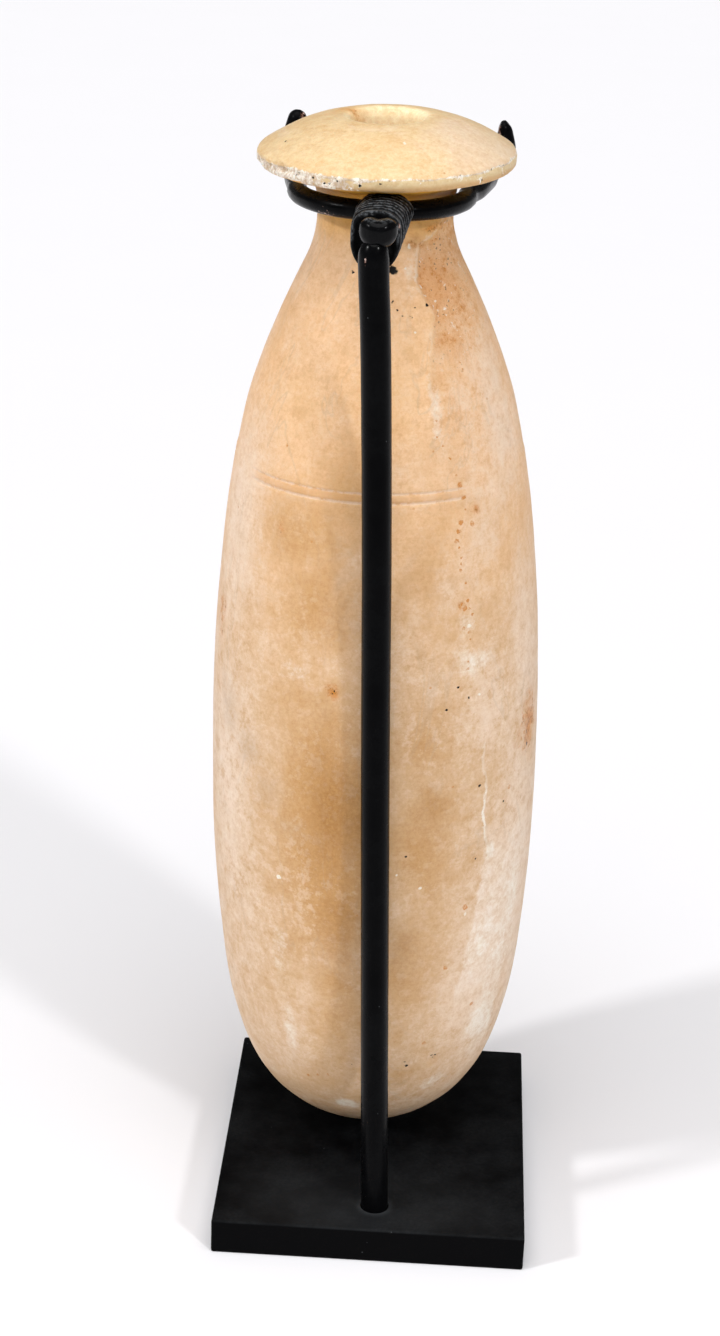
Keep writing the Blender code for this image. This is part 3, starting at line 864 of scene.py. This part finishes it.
def alabaster(looks):
    material, tree, shader = new_material("alabaster")
    here = millimetres(tree, VESSEL_FOOT)
    height = height_of(here)
    tilted = stretched(here, (1.0, 1.0, 0.4), (0.4, 0.55, 0.2))
    cloud = grain(here, 38.0, 2.0, 0.5)
    mottle = grain(here, 9.0, 5.0, 0.66)
    streaky = grain(tilted, 12.0, 5.0, 0.66, 1.2)
    curd = grain(here, 3.2, 4.0, 0.75)
    fine = grain(here, 1.1, 3.0, 0.85)
    unrest = total(mottle, -0.5, shaken(curd, 1.4))

    def patch(name, breaking=0.5):
        painted = painted_on(tree, name)
        ragged = times(unrest, between(painted, 0.0, 0.3, 0.0, breaking))
        return between(total(painted, ragged), 0.02, 0.95)

    # Clouds, patches, curds, freckles and veins of the body, with painted shade at the front middle
    # and beside the rod, and a painted glow below the neck
    bleached, dusky, golden = patch("bleached"), patch("dusky"), patch("golden")
    lower = between(height, 120.0, 180.0, 1.12, 0.5)
    lively = times(between(cloud, 0.4, 0.6, 0.45, 1.0), lower)
    curdled = times(between(curd, 0.5, 0.62), lively)
    clotted = times(between(curd, 0.47, 0.36), lively)
    freckles = times(between(fine, 0.53, 0.64), between(mottle, 0.42, 0.58))
    vein = unsigned(total(grain(tilted, 30.0, 4.0, 0.62, 1.5), -0.5))
    vein = times(between(vein, 0.016, 0.0), between(cloud, 0.45, 0.6))
    tone = coated(
        mixed(between(height, 110.0, 200.0), looks.body, looks.honey),
        (between(cloud, 0.3, 0.7), 0.3, looks.pale),
        (between(mottle, 0.46, 0.72, 0.0, 0.32), lower, looks.golden),
        (between(streaky, 0.5, 0.72), 0.34, looks.pale),
        # golden patches, partly painted shade at the front middle and beside the rod
        (golden, 0.8, looks.golden),
        (bleached, 0.75, looks.pale),
        # dusky patches, partly painted shade of the rod
        (dusky, 0.8, looks.dusky),
        # painted glow below the neck
        (patch("upper_painted_glow"), 0.7, looks.upper_painted_glow),
        (curdled, between(dusky, 0.0, 0.7, 0.3, 0.12), looks.pale),
        (clotted, 0.34, looks.golden),
        (freckles, 0.3, looks.golden),
        (vein, 0.25, looks.vein),
        (patch("veined"), 0.55, looks.vein),
    )

    # Creamier stone of the disc, the throat painted bright as a glow, and painted amber glow and
    # shade under the disc
    cream = coated(
        # Throat painted bright for the glow of light through the stone
        mixed(painted_on(tree, "mouth"), looks.cream, looks.throat_painted_glow),
        (between(mottle, 0.42, 0.66), 0.42, looks.disc_brown),
        (between(curd, 0.46, 0.36), 0.28, looks.disc_brown),
        (between(streaky, 0.55, 0.72), 0.3, looks.pale),
        (golden, 0.55, looks.orange),
        (bleached, 0.6, looks.pale),
    )
    tone = mixed(painted_on(tree, "disc"), tone, cream)
    # Painted amber glow and shade under the disc and round the neck's top
    tone = mixed(painted_on(tree, "shaded"), tone, looks.amber)

    # Raw, gritty stone right of the crack, with a painted highlight along the crack's edge
    side = total(painted_on(tree, "scar_side"), shaken(curd, 2.6), shaken(fine, 1.0))
    scar = times(between(side, -0.25, 0.35), painted_on(tree, "scar"))
    gritty = total(between(fine, 0.52, 0.64), between(curd, 0.45, 0.36))
    # Painted highlight along the crack's left edge
    edge = times(
        between(unsigned(total(side, 0.55)), 0.55, 0.05), between(height, 180.0, 205.0),
        between(mottle, 0.38, 0.62),
    )
    flecks = between(grain(here, 1.5, 2.0, 0.7), 0.63, 0.7)

    # White streak, and the blanched stone to its right
    away = total(painted_on(tree, "streak"), shaken(curd, 2.8))
    streak = times(
        between(unsigned(away), 0.62, 0.12), between(mottle, 0.36, 0.46),
        between(height, 85.0, 88.0), between(height, 107.5, 105.0, 0.3, 1.0),
        between(height, 91.0, 99.0, 0.35, 1.0),
    )
    blanched = times(
        between(away, -0.6, 1.0), between(away, 26.0, 12.0), between(height, 100.0, 84.0),
        between(height, 44.0, 60.0),
    )

    # Weathered edge of the disc, crusted white where it is chipped
    drop = total(painted_on(tree, "rim_drop"), shaken(curd, 1.3), shaken(fine, 0.9))
    band = between(drop, -0.05, 0.15)
    whiteness = total(painted_on(tree, "chipped"), shaken(curd, 2.2), shaken(fine, 1.2),
                      between(drop, 0.8, 0.1, 0.0, 0.62))
    crust = mixed(between(curd, 0.56, 0.4, 0.0, 0.75), looks.crust, looks.vein)
    crust = mixed(between(fine, 0.52, 0.4, 0.0, 0.7), crust, looks.vein)
    # Toward the edge's lower corner it turns golden brown: painted shade where the edge turns under
    rim = mixed(between(drop, 1.1, 2.3, 0.0, 0.7), looks.rim, looks.golden)
    rim = mixed(between(whiteness, 0.36, 0.6), rim, crust)

    # Engraved lines and stains, and small marks and holes with ragged outlines
    cut = times(painted_on(tree, "line"), between(curd, 0.36, 0.56, 0.35, 1.0))
    spoiled = times(painted_on(tree, "lines_band"), between(fine, 0.35, 0.6, 0.15, 0.75))
    stained = patch("stained", 2.6)
    dirty = times(stained, stained, between(fine, 0.5, 0.38))
    warped = after("ShaderNodeTexNoise", {"Vector": here, "Scale": 1.1, "Detail": 2.0})
    offset = vectors("SUBTRACT", warped.outputs["Color"], (0.5, 0.5, 0.5))[0]
    offset = vectors("MULTIPLY", offset, (1.1, 1.1, 1.1))[0]
    ragged = vectors("ADD", here, offset)[0]
    marks = {}
    for kind, sizes in MARKS.items():
        marks[kind] = nearby(ragged, {r: mark_places(looks, at) for r, at in sizes.items()})
    holes = times(between(scattered(ragged, 0.8), 0.25, 0.17), between(curd, 0.5, 0.56))
    where = total(times(band, between(whiteness, 0.1, 0.5, 0.0, 0.75)),
                  times(total(scar, stained), 0.6))
    dots = times(between(scattered(here, 0.13), 0.05, 0.03), between(cloud, 0.45, 0.6))
    tone = coated(
        tone,
        (scar, 0.7, mixed(between(curd, 0.42, 0.58), looks.scar, looks.scar_light)),
        (times(patch("rosy"), between(side, -0.25, 0.3)), 0.75, looks.scar),
        (times(gritty, scar), 0.5, looks.stain),
        # painted highlight on the crack's edge
        (edge, 0.36, looks.crust),
        (times(flecks, scar), 0.6, looks.crust),
        (blanched, between(total(curd, mottle), 0.92, 1.1, 0.5, 0.9), looks.ashen),
        (streak, 0.85, looks.crust),
        (patch("chalk", 1.0), 0.65, looks.crust),
        (band, 0.92, rim),
        (spoiled, 0.26, looks.stain),
        (between(cut, 0.2, 0.8), 0.3, looks.crust),
        (stained, 0.75, looks.stain),
        (dirty, 0.8, looks.dusky),
        (marks["rust"], between(fine, 0.44, 0.54, 0.3, 0.85), looks.stain),
        (marks["white"], 0.75, looks.crust),
        (marks["black"], 1.0, looks.pit),
        (holes, where, looks.pit),
        (dots, 0.55, looks.stain),
    )

    # Fine grain over it all, redder where it is dark
    rings = stretched(here, (0.16, 0.16, 1.6))
    level = total(
        times(between(fine, 0.3, 0.7), 0.2),
        times(between(grain(rings, 1.0, 2.0, 0.7), 0.25, 0.75), 0.05),
        times(between(curd, 0.3, 0.7), 0.06), 0.845,
    )
    shade = after("ShaderNodeCombineColor", {
        0: total(times(level, 0.6), 0.4), 1: level, 2: total(times(level, 1.5), -0.5),
    }).outputs[0]
    chalky = total(times(band, 0.7), scar)
    rougher = total(painted_on(tree, "scar"), painted_on(tree, "chipped"))
    relief = times(total(times(curd, 0.6), times(fine, 0.5)), total(times(rougher, 1.4), 0.4))
    fill(tree, shader, {
        "Base Color": mixed(1.0, tone, shade, "MULTIPLY"),
        "Roughness": total(between(mottle, 0.3, 0.7, 0.38, 0.52), times(chalky, 0.25)),
        "Normal": bumped(relief, 0.7, 0.5 * MM),
        "Subsurface Weight": between(marks["black"], 0.0, 1.0, 0.12, 0.0),
        "Subsurface Radius": (1.0, 0.55, 0.3),
        "Subsurface Scale": 3.0 * MM,
        "Specular IOR Level": 0.35,
        "Specular Tint": (0.4, 0.4, 0.4, 1.0),
    })
    return material


def black_paint(looks, name, gloss, dusty, worn=False, dust_at=(), crest_dust_and_highlight=False, satin=True):
    """Black paint with dust on it, dust and painted highlights along marked ridges and edges, and
    bare metal where it is worn.
    """
    material, tree, shader = new_material(name)
    here = millimetres(tree)
    cloud = grain(here, 14.0, 5.0, 0.65)
    fine = grain(here, 0.9, 4.0, 0.65)
    share = times(between(cloud, 0.3, 0.7), dusty, between(fine, 0.25, 0.75, 0.5, 1.3))
    for place, reach, strength in dust_at:
        apart = total(vectors("DISTANCE", here, place)["Value"], shaken(fine, 1.2))
        share = total(share, between(apart, reach, 0.15 * reach, 0.0, strength))
    if dust_at:
        share = times(share, between(height_of(here), PLATE_TOP - 0.6, PLATE_TOP - 0.2))
    if crest_dust_and_highlight:
        # Dust and painted highlights along the ridges and edges marked on the mesh
        ridge = times(painted_on(tree, "crest_dust_and_highlight"), between(fine, 0.42, 0.58, 0.1, 1.3))
        share = total(share, ridge)
    share = total(share, times(between(scattered(here, 0.2), 0.035, 0.02), 0.7))
    tone = mixed(share, looks.black, looks.dust)
    sheen = between(cloud, 0.3, 0.7, gloss - 0.05, gloss + 0.08)
    relief = times(fine, 0.5)
    if crest_dust_and_highlight:
        glossy = painted_on(tree, "glossy")
        sheen = total(sheen, times(glossy, HEAD_GLOSS - gloss))
        relief = times(relief, total(times(glossy, -0.75), 1.0))
        fill(tree, shader, {"Coat Weight": times(glossy, 0.1), "Coat Roughness": 0.16})
    if worn:
        rubbed = painted_on(tree, "worn")
        bare = between(total(rubbed, shaken(fine, 1.3)), 0.5, 0.6)
        clean = between(total(fine, times(rubbed, 0.35)), 0.72, 0.86)
        tone = mixed(bare, tone, mixed(clean, looks.rust, looks.steel))
        relief = total(relief, times(bare, -0.5))
    fill(tree, shader, {
        "Base Color": tone,
        "Roughness": sheen,
        "Normal": bumped(relief, 0.4, 0.2 * MM),
        "Specular IOR Level": 0.1 if satin else 0.035,
        "Specular Tint": (0.26, 0.26, 0.26, 1.0) if satin else (1.0, 1.0, 1.0, 1.0),
    })
    return material


# ---- stand -----------------------------------------------------------------

def along(direction):
    """Rotation that takes +Z to a direction."""
    up = Vector((0.0, 0.0, 1.0))
    return up.rotation_difference(direction.normalized()).to_matrix().to_4x4()


def new_layers(bm, *names):
    return [bm.verts.layers.float.new(name) for name in names]


def grown(bm, edges):
    """Extrude edges. Gives the new verts and the new open edges."""
    geom = bmesh.ops.extrude_edge_only(bm, edges=edges)["geom"]
    verts = [g for g in geom if isinstance(g, bmesh.types.BMVert)]
    return verts, [g for g in geom if isinstance(g, bmesh.types.BMEdge) and g.is_boundary]


def rod_mesh(looks):
    """Rod with a rounded shoulder, and a two-lobed weld lying across its top."""
    radius = looks.rod / MM
    foot, top = Vector(ROD_FOOT), Vector(ROD_TOP)
    tall = (top - foot).length + 1.6
    profile = [(0.0, -4.0), (radius - 0.4, -4.0), (radius, -3.6)]
    profile += [(radius, h) for h in range(0, int(tall) - 4, 2)]
    for k in range(SHOULDER_STEPS + 1):
        turn = radians(90.0 / SHOULDER_STEPS * k)
        profile.append((radius - SHOULDER_IN * (1.0 - cos(turn)),
                        tall - SHOULDER_UP * (1.0 - sin(turn))))
    profile.append((0.0, tall))
    bm = turned([Vector(p) for p in profile], ROD_SIDES)
    for vertex in bm.verts:
        side = Vector((vertex.co.x, vertex.co.y, 0.0))
        if side.length > 0.5 * radius:
            vertex.co += side.normalized() * 0.03 * rough(vertex.co, 5.0)
    bmesh.ops.transform(bm, matrix=Matrix.Translation(foot) @ along(top - foot), verts=bm.verts)
    half = 0.5 * HEAD_WIDE
    line = []
    for k in range(HEAD_STEPS + 1):
        x = -1.0 + 2.0 * k / HEAD_STEPS
        swell = max(0.0, 1.0 - abs(x) ** 4.0) ** 0.4
        waist = 1.0 - 0.10 * exp(-(x / 0.26) ** 2)
        line.append(Vector((0.5 * HEAD_HIGH * swell * waist, half * x)))
    head = turned(line, ROD_SIDES)
    for vertex in head.verts:
        round_out = Vector((vertex.co.x, vertex.co.y))
        turn = atan2(round_out.y, round_out.x)
        square = 1.0 + 0.05 * (1.0 - cos(4.0 * turn))
        across = min(abs(vertex.co.z) / half, 0.98)
        rounder = (1.0 - across ** 2) ** 0.7 / (1.0 - across ** 4.0) ** 0.4
        vertex.co.x *= square
        vertex.co.y *= square * max(0.3, 1.06 * rounder)
        if vertex.co.x > 0.0:
            vertex.co.z *= 1.0 - 0.16 * ramp(0.0, 0.5 * HEAD_HIGH, vertex.co.x)
        vertex.co += vertex.co.normalized() * 0.10 * rough(vertex.co + Vector((9.0, 0.0, 4.0)), 3.0)
    turn = Matrix.Translation(HEAD_MIDDLE) @ Matrix.Rotation(radians(90.0), 4, "Y")
    bmesh.ops.transform(head, matrix=turn, verts=head.verts)
    mesh = bpy.data.meshes.new("head_shape")
    head.to_mesh(mesh)
    head.free()
    bm.from_mesh(mesh)
    bpy.data.meshes.remove(mesh)
    worn, crest_dust_and_highlight, glossy = new_layers(bm, "worn", "crest_dust_and_highlight", "glossy")
    middle = Vector(HEAD_MIDDLE)
    bow = smooth_through([Vector(pair) for pair in ROD_BOW], 4)
    for vertex in bm.verts:
        for x, y, z, reach, strength in ROD_WORN:
            apart = vertex.co - top - Vector((x, y, z))
            apart.z *= 0.45
            vertex[worn] = max(vertex[worn], strength * max(0.0, 1.0 - apart.length / reach))
        away = vertex.co - middle
        # Dust and painted highlight along the head's top front edge
        high = ramp(0.40, 0.47, away.z / HEAD_HIGH)
        vertex[crest_dust_and_highlight] = 0.8 * high * ramp(0.3, -0.8, away.y)
        vertex[glossy] = ramp(-0.6, -0.45, away.z / HEAD_HIGH)
        vertex.co.x += radius_at(bow, vertex.co.z) * ramp(-0.45, -0.7, away.z / HEAD_HIGH)
    return bm


def sleeve_mesh():
    """Oval ribbed sleeve from the rod's head back over the fork's wire."""
    front, rear = Vector(SLEEVE_FRONT), Vector(SLEEVE_REAR)
    bm = bmesh.new()
    worn, crest_dust_and_highlight = new_layers(bm, "worn", "crest_dust_and_highlight")
    start = bmesh.ops.create_circle(bm, cap_ends=False, segments=SLEEVE_SIDES, radius=1.0)
    bmesh.ops.rotate(bm, verts=start["verts"], cent=(0, 0, 0),
                     matrix=Matrix.Rotation(radians(90.0), 3, "X"))
    edges = list(bm.edges)
    rows = [start["verts"]]
    for _ in range(SLEEVE_ROWS):
        verts, edges = grown(bm, edges)
        rows.append(verts)
    for k, row in enumerate(rows):
        share = k / SLEEVE_ROWS
        middle = front.lerp(rear, share)
        wide = 0.5 * (SLEEVE_FRONT_SIZE[0] + (SLEEVE_REAR_SIZE[0] - SLEEVE_FRONT_SIZE[0]) * share)
        tall = 0.5 * (SLEEVE_FRONT_SIZE[1] + (SLEEVE_REAR_SIZE[1] - SLEEVE_FRONT_SIZE[1]) * share)
        rounding = sqrt(max(0.0, 1.0 - (1.0 - min(1.0, k / 4.0)) ** 2))
        inset = 0.45 * (1.0 - rounding)
        for vertex in row:
            flat = Vector((vertex.co.x, 0.0, vertex.co.z)).normalized()
            top_side = ramp(-0.6, 0.2, flat.z)
            beat = share * SLEEVE_RIBS + 0.35 * rough(flat * 4.0, 3.0)
            wave = sin(tau * beat)
            ridge = 0.17 * wave * top_side * ramp(0.05, 0.12, share)
            crease = 0.10 * rough(Vector((flat.x * 6.0, share * 22.0, flat.z * 6.0)), 1.2)
            grow = ridge + crease * ramp(0.0, 0.08, share) - inset
            square = 2.0 + 0.9 * ramp(-0.3, 0.3, flat.z) * ramp(0.9, 0.2, share)
            corner = (abs(flat.x) ** square + abs(flat.z) ** square) ** (-1.0 / square)
            vertex.co = middle + Vector((
                flat.x * (wide * corner + grow), 0.0, flat.z * (tall * corner + grow)))
            # Thin line of dust and painted highlight round the sleeve's front rim
            on_rim = exp(-((share - 0.035) / 0.013) ** 2) * ramp(0.75, 0.95, flat.z)
            on_rim *= ramp(0.6, 0.2, flat.x)
            # Ridges painted lighter toward the rear top: painted light against the shade under the
            # disc
            rear_painted_light = 0.75 + 0.5 * share * ramp(0.3, 0.9, flat.z)
            lines = max(ramp(0.3, 1.0, wave), 0.7 * ramp(0.4, 1.0, -wave))
            vertex[crest_dust_and_highlight] = max(1.5 * on_rim, 1.3 * rear_painted_light * top_side * lines)
    for row, deep in ((rows[0], 1.2), (rows[-1], 0.0)):
        loop = [e for e in bm.edges if e.is_boundary and all(v in row for v in e.verts)]
        if deep:
            about = Matrix.Translation(-front)
            lip, loop = grown(bm, loop)
            bmesh.ops.scale(bm, vec=(0.9, 1.0, 0.9), verts=lip, space=about)
            bottom, loop = grown(bm, loop)
            bmesh.ops.translate(bm, vec=(0.0, deep, 0.0), verts=bottom)
            bmesh.ops.scale(bm, vec=(0.95, 1.0, 0.95), verts=bottom, space=about)
            for vertex in lip + bottom:
                vertex[crest_dust_and_highlight] = 0.0
        bmesh.ops.contextual_create(bm, geom=loop)
    bmesh.ops.recalc_face_normals(bm, faces=bm.faces)
    spot = front + Vector(SLEEVE_WORN)
    for vertex in bm.verts:
        apart = vertex.co - spot
        apart.z *= 0.5
        vertex[worn] = 0.9 * max(0.0, 1.0 - apart.length / 0.9)
    return bm


def fork_arm(opening, tip_out):
    """Half of the fork's centreline to the right, from the front to the tip."""
    tip_x = FORK_SIDE + opening + tip_out
    back = sqrt(FORK_REACH ** 2 - tip_x ** 2)
    points = []
    for i in range(10):
        angle = radians(10.0) * i
        points.append(Vector((FORK_SIDE * sin(angle), -FORK_FRONT * cos(angle), 0.0)))
    straight = back - FORK_BEND
    for share in (0.35, 0.7):
        points.append(Vector((FORK_SIDE + opening * share ** 0.7, straight * share, 0.0)))
    for i in range(6):
        angle = radians(18.0) * i
        points.append(Vector((
            FORK_SIDE + opening + tip_out * (1.0 - cos(angle)),
            straight + FORK_BEND * sin(angle), FORK_BEND * (1.0 - cos(angle)),
        )))
    foot = Vector((tip_x, back, FORK_TIP_Z - FORK_HOOK))
    tip = Vector((tip_x - FORK_TIP_LEAN, back, FORK_TIP_Z))
    return points + [foot, foot.lerp(tip, 0.5), tip]


def fork_mesh(looks):
    """Bent wire, thinner and cut slantwise at its tips."""
    mirror = Matrix.Scale(-1.0, 3, (1.0, 0.0, 0.0))
    left = [mirror @ v for v in fork_arm(FORK_OPENINGS[0], FORK_TIPS_OUT[0])]
    right = fork_arm(FORK_OPENINGS[1], FORK_TIPS_OUT[1])
    centre = Vector(FORK_MIDDLE)
    points = smooth_through([centre + v for v in left[:0:-1] + right], 12)
    points = spaced(points, lambda place: 0.25 if place.z > centre.z + 7.0 else 0.9)
    radius = looks.wire / MM
    data = bpy.data.curves.new("fork_line", "CURVE")
    data.dimensions = "3D"
    data.bevel_depth = radius
    data.bevel_resolution = 6
    data.use_fill_caps = True
    spline = data.splines.new("POLY")
    spline.points.add(len(points) - 1)
    lengths = [0.0]
    for start, end in zip(points, points[1:]):
        lengths.append(lengths[-1] + (end - start).length)
    for target, point, gone in zip(spline.points, points, lengths):
        from_tip = min(gone, lengths[-1] - gone)
        target.co = point.to_4d()
        short = 1.0 - min(1.0, from_tip / TIP_ROUND)
        target.radius = max(0.12, sqrt(1.0 - short ** 2.6))
    curve = bpy.data.objects.new("fork_line", data)
    bpy.context.scene.collection.objects.link(curve)
    bpy.context.view_layer.update()
    mesh = bpy.data.meshes.new_from_object(
        curve.evaluated_get(bpy.context.evaluated_depsgraph_get()))
    bm = bmesh.new()
    bm.from_mesh(mesh)
    bpy.data.objects.remove(curve)
    bpy.data.curves.remove(data)
    bmesh.ops.remove_doubles(bm, verts=bm.verts, dist=0.001)
    bmesh.ops.recalc_face_normals(bm, faces=bm.faces)
    worn, = new_layers(bm, "worn")
    low_left = centre + Vector(FORK_WORN)
    bm.normal_update()
    for vertex in bm.verts:
        vertex.co += vertex.normal * 0.04 * rough(vertex.co, 4.0)
        away = vertex.co - centre
        if away.x > 0.0 and away.z > 5.0:
            side, point, high = TIP_CUT
            away.z += 0.6 * ramp(5.0, 12.0, away.z)
            away.x = max(away.x, side - 0.5 * ramp(12.5, 9.0, away.z))
            beyond = away.x - point
            if beyond > 0.0:
                drop = 0.9 * beyond + 0.03 * min(beyond, 2.0) ** 5
            else:
                drop = -0.2 * beyond + 0.4 * min(-beyond, 1.3) ** 4
            vertex.co.x = centre.x + away.x
            vertex.co.z = centre.z + min(away.z, high - drop)
        inner = -vertex.normal.x * copysign(1.0, away.x) - 0.35 * vertex.normal.y
        bare_tip = ramp(6.5, 9.5, away.z) * ramp(0.15, 0.7, inner)
        spot = max(0.0, 1.0 - (vertex.co - low_left).length / 6.0)
        vertex[worn] = max(0.60 * bare_tip, 0.60 * spot)
    return bm


# ---- operators -------------------------------------------------------------

class ALABASTRON_OT_vessel(bpy.types.Operator):
    """Turn the alabaster vessel, cut its lines and age its stone"""

    bl_idname = "alabastron.vessel"
    bl_label = "Make vessel"

    def execute(self, context):
        looks = context.scene.vessel_looks
        bm = turned(vessel_profile(looks), VESSEL_SIDES)
        age_stone(bm, looks)
        tilt_disc(bm)
        bmesh.ops.transform(bm, matrix=vessel_matrix(), verts=bm.verts)
        finish_piece("alabaster_vessel", bm, "alabastron", alabaster(looks))
        return {"FINISHED"}


class ALABASTRON_OT_plate(bpy.types.Operator):
    """Paint the stand's base plate"""

    bl_idname = "alabastron.plate"
    bl_label = "Paint plate"

    def execute(self, context):
        looks = context.scene.stand_looks
        paint = black_paint(looks, "plate_paint", 0.5, 0.09, dust_at=PLATE_DUST, satin=False)
        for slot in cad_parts["base_plate"].material_slots:
            slot.material = paint
        return {"FINISHED"}


class ALABASTRON_OT_rod(bpy.types.Operator):
    """Make the upright rod with its swelled head"""

    bl_idname = "alabastron.rod"
    bl_label = "Make rod"

    def execute(self, context):
        looks = context.scene.stand_looks
        paint = black_paint(looks, "rod_paint", 0.25, 0.02, worn=True, crest_dust_and_highlight=True)
        finish_piece("rod_and_head", rod_mesh(looks), "rod", paint)
        return {"FINISHED"}


class ALABASTRON_OT_sleeve(bpy.types.Operator):
    """Make the ribbed sleeve that couples the rod and the fork"""

    bl_idname = "alabastron.sleeve"
    bl_label = "Make sleeve"

    def execute(self, context):
        looks = context.scene.stand_looks
        paint = black_paint(looks, "coupling_paint", 0.4, 0.06, worn=True, crest_dust_and_highlight=True)
        finish_piece("ribbed_sleeve", sleeve_mesh(), "coupling", paint)
        return {"FINISHED"}


class ALABASTRON_OT_fork(bpy.types.Operator):
    """Bend the fork round the vessel's neck"""

    bl_idname = "alabastron.fork"
    bl_label = "Make fork"

    def execute(self, context):
        looks = context.scene.stand_looks
        paint = black_paint(looks, "fork_paint", 0.24, 0.03, worn=True)
        finish_piece("bent_fork", fork_mesh(looks), "neck_fork", paint)
        return {"FINISHED"}


def far_light(name, energy):
    """Even light from far away, softened by its spread."""
    turn, rise, spread = (radians(angle) for angle in LIGHTS[name])
    away = Vector((cos(turn) * cos(rise), sin(turn) * cos(rise), sin(rise)))
    data = bpy.data.lights.new(name, "SUN")
    data.angle = spread
    data.energy = energy
    light = bpy.data.objects.new(name, data)
    light.location = away
    light.rotation_euler = away.to_track_quat("Z", "Y").to_euler()
    bpy.context.scene.collection.objects.link(light)


class ALABASTRON_OT_stage(bpy.types.Operator):
    """Lay the floor, set the lights and place the camera"""

    bl_idname = "alabastron.stage"
    bl_label = "Set stage"

    def execute(self, context):
        looks = context.scene.stage_looks
        bm = bmesh.new()
        bmesh.ops.create_grid(bm, x_segments=1, y_segments=1, size=FLOOR_HALF)
        mesh = bpy.data.meshes.new("floor")
        bm.to_mesh(mesh)
        bm.free()
        floor = bpy.data.objects.new("floor", mesh)
        context.scene.collection.objects.link(floor)
        material, tree, shader = new_material("floor_white")
        shade = between(grain(millimetres(tree), 90.0, 1.0), 0.3, 0.7, 0.0, 0.03)
        tone = mixed(shade, looks.floor, (0.8, 0.8, 0.8, 1.0))
        fill(tree, shader, {"Base Color": tone, "Roughness": 0.7})
        mesh.materials.append(material)
        far_light("right", looks.right)
        far_light("left", looks.left)
        far_light("overhead", looks.top)
        world = context.scene.world or bpy.data.worlds.new("studio")
        context.scene.world = world
        world.use_nodes = True
        sky = world.node_tree.nodes["Background"]
        sky.inputs["Color"].default_value = (1.0, 1.0, 1.0, 1.0)
        sky.inputs["Strength"].default_value = looks.fill
        data = bpy.data.cameras.new("camera")
        data.sensor_width = SENSOR
        data.lens = CAMERA_LENS
        data.clip_start = 0.01
        camera = bpy.data.objects.new("camera", data)
        camera.location = CAMERA_PLACE
        camera.rotation_euler = [radians(a) for a in CAMERA_TURN_DEG]
        context.scene.collection.objects.link(camera)
        context.scene.camera = camera
        context.scene.view_settings.view_transform = "Standard"
        return {"FINISHED"}


class ALABASTRON_PT_panel(bpy.types.Panel):
    """Alabastron and its stand"""

    bl_idname = "ALABASTRON_PT_panel"
    bl_label = "Alabastron"
    bl_space_type = "VIEW_3D"
    bl_region_type = "UI"
    bl_category = "Alabastron"

    def draw(self, context):
        layout = self.layout
        for group in (context.scene.vessel_looks, context.scene.stand_looks,
                      context.scene.stage_looks):
            box = layout.box()
            for name in group.bl_rna.properties.keys():
                if name not in ("rna_type", "name"):
                    box.prop(group, name)
        for item in OPERATORS:
            layout.operator(item.bl_idname)


OPERATORS = (
    ALABASTRON_OT_vessel, ALABASTRON_OT_plate, ALABASTRON_OT_rod, ALABASTRON_OT_sleeve,
    ALABASTRON_OT_fork, ALABASTRON_OT_stage,
)
CLASSES = (
    VesselLooks, StandLooks, StageLooks, *OPERATORS, ALABASTRON_PT_panel,
)


def register():
    for item in CLASSES:
        bpy.utils.register_class(item)
    bpy.types.Scene.vessel_looks = PointerProperty(type=VesselLooks)
    bpy.types.Scene.stand_looks = PointerProperty(type=StandLooks)
    bpy.types.Scene.stage_looks = PointerProperty(type=StageLooks)


def unregister():
    del bpy.types.Scene.stage_looks
    del bpy.types.Scene.stand_looks
    del bpy.types.Scene.vessel_looks
    for item in reversed(CLASSES):
        bpy.utils.unregister_class(item)


def main():
    register()
    bpy.ops.alabastron.vessel()
    bpy.ops.alabastron.plate()
    bpy.ops.alabastron.rod()
    bpy.ops.alabastron.sleeve()
    bpy.ops.alabastron.fork()
    bpy.ops.alabastron.stage()


if __name__ == "__main__":
    main()
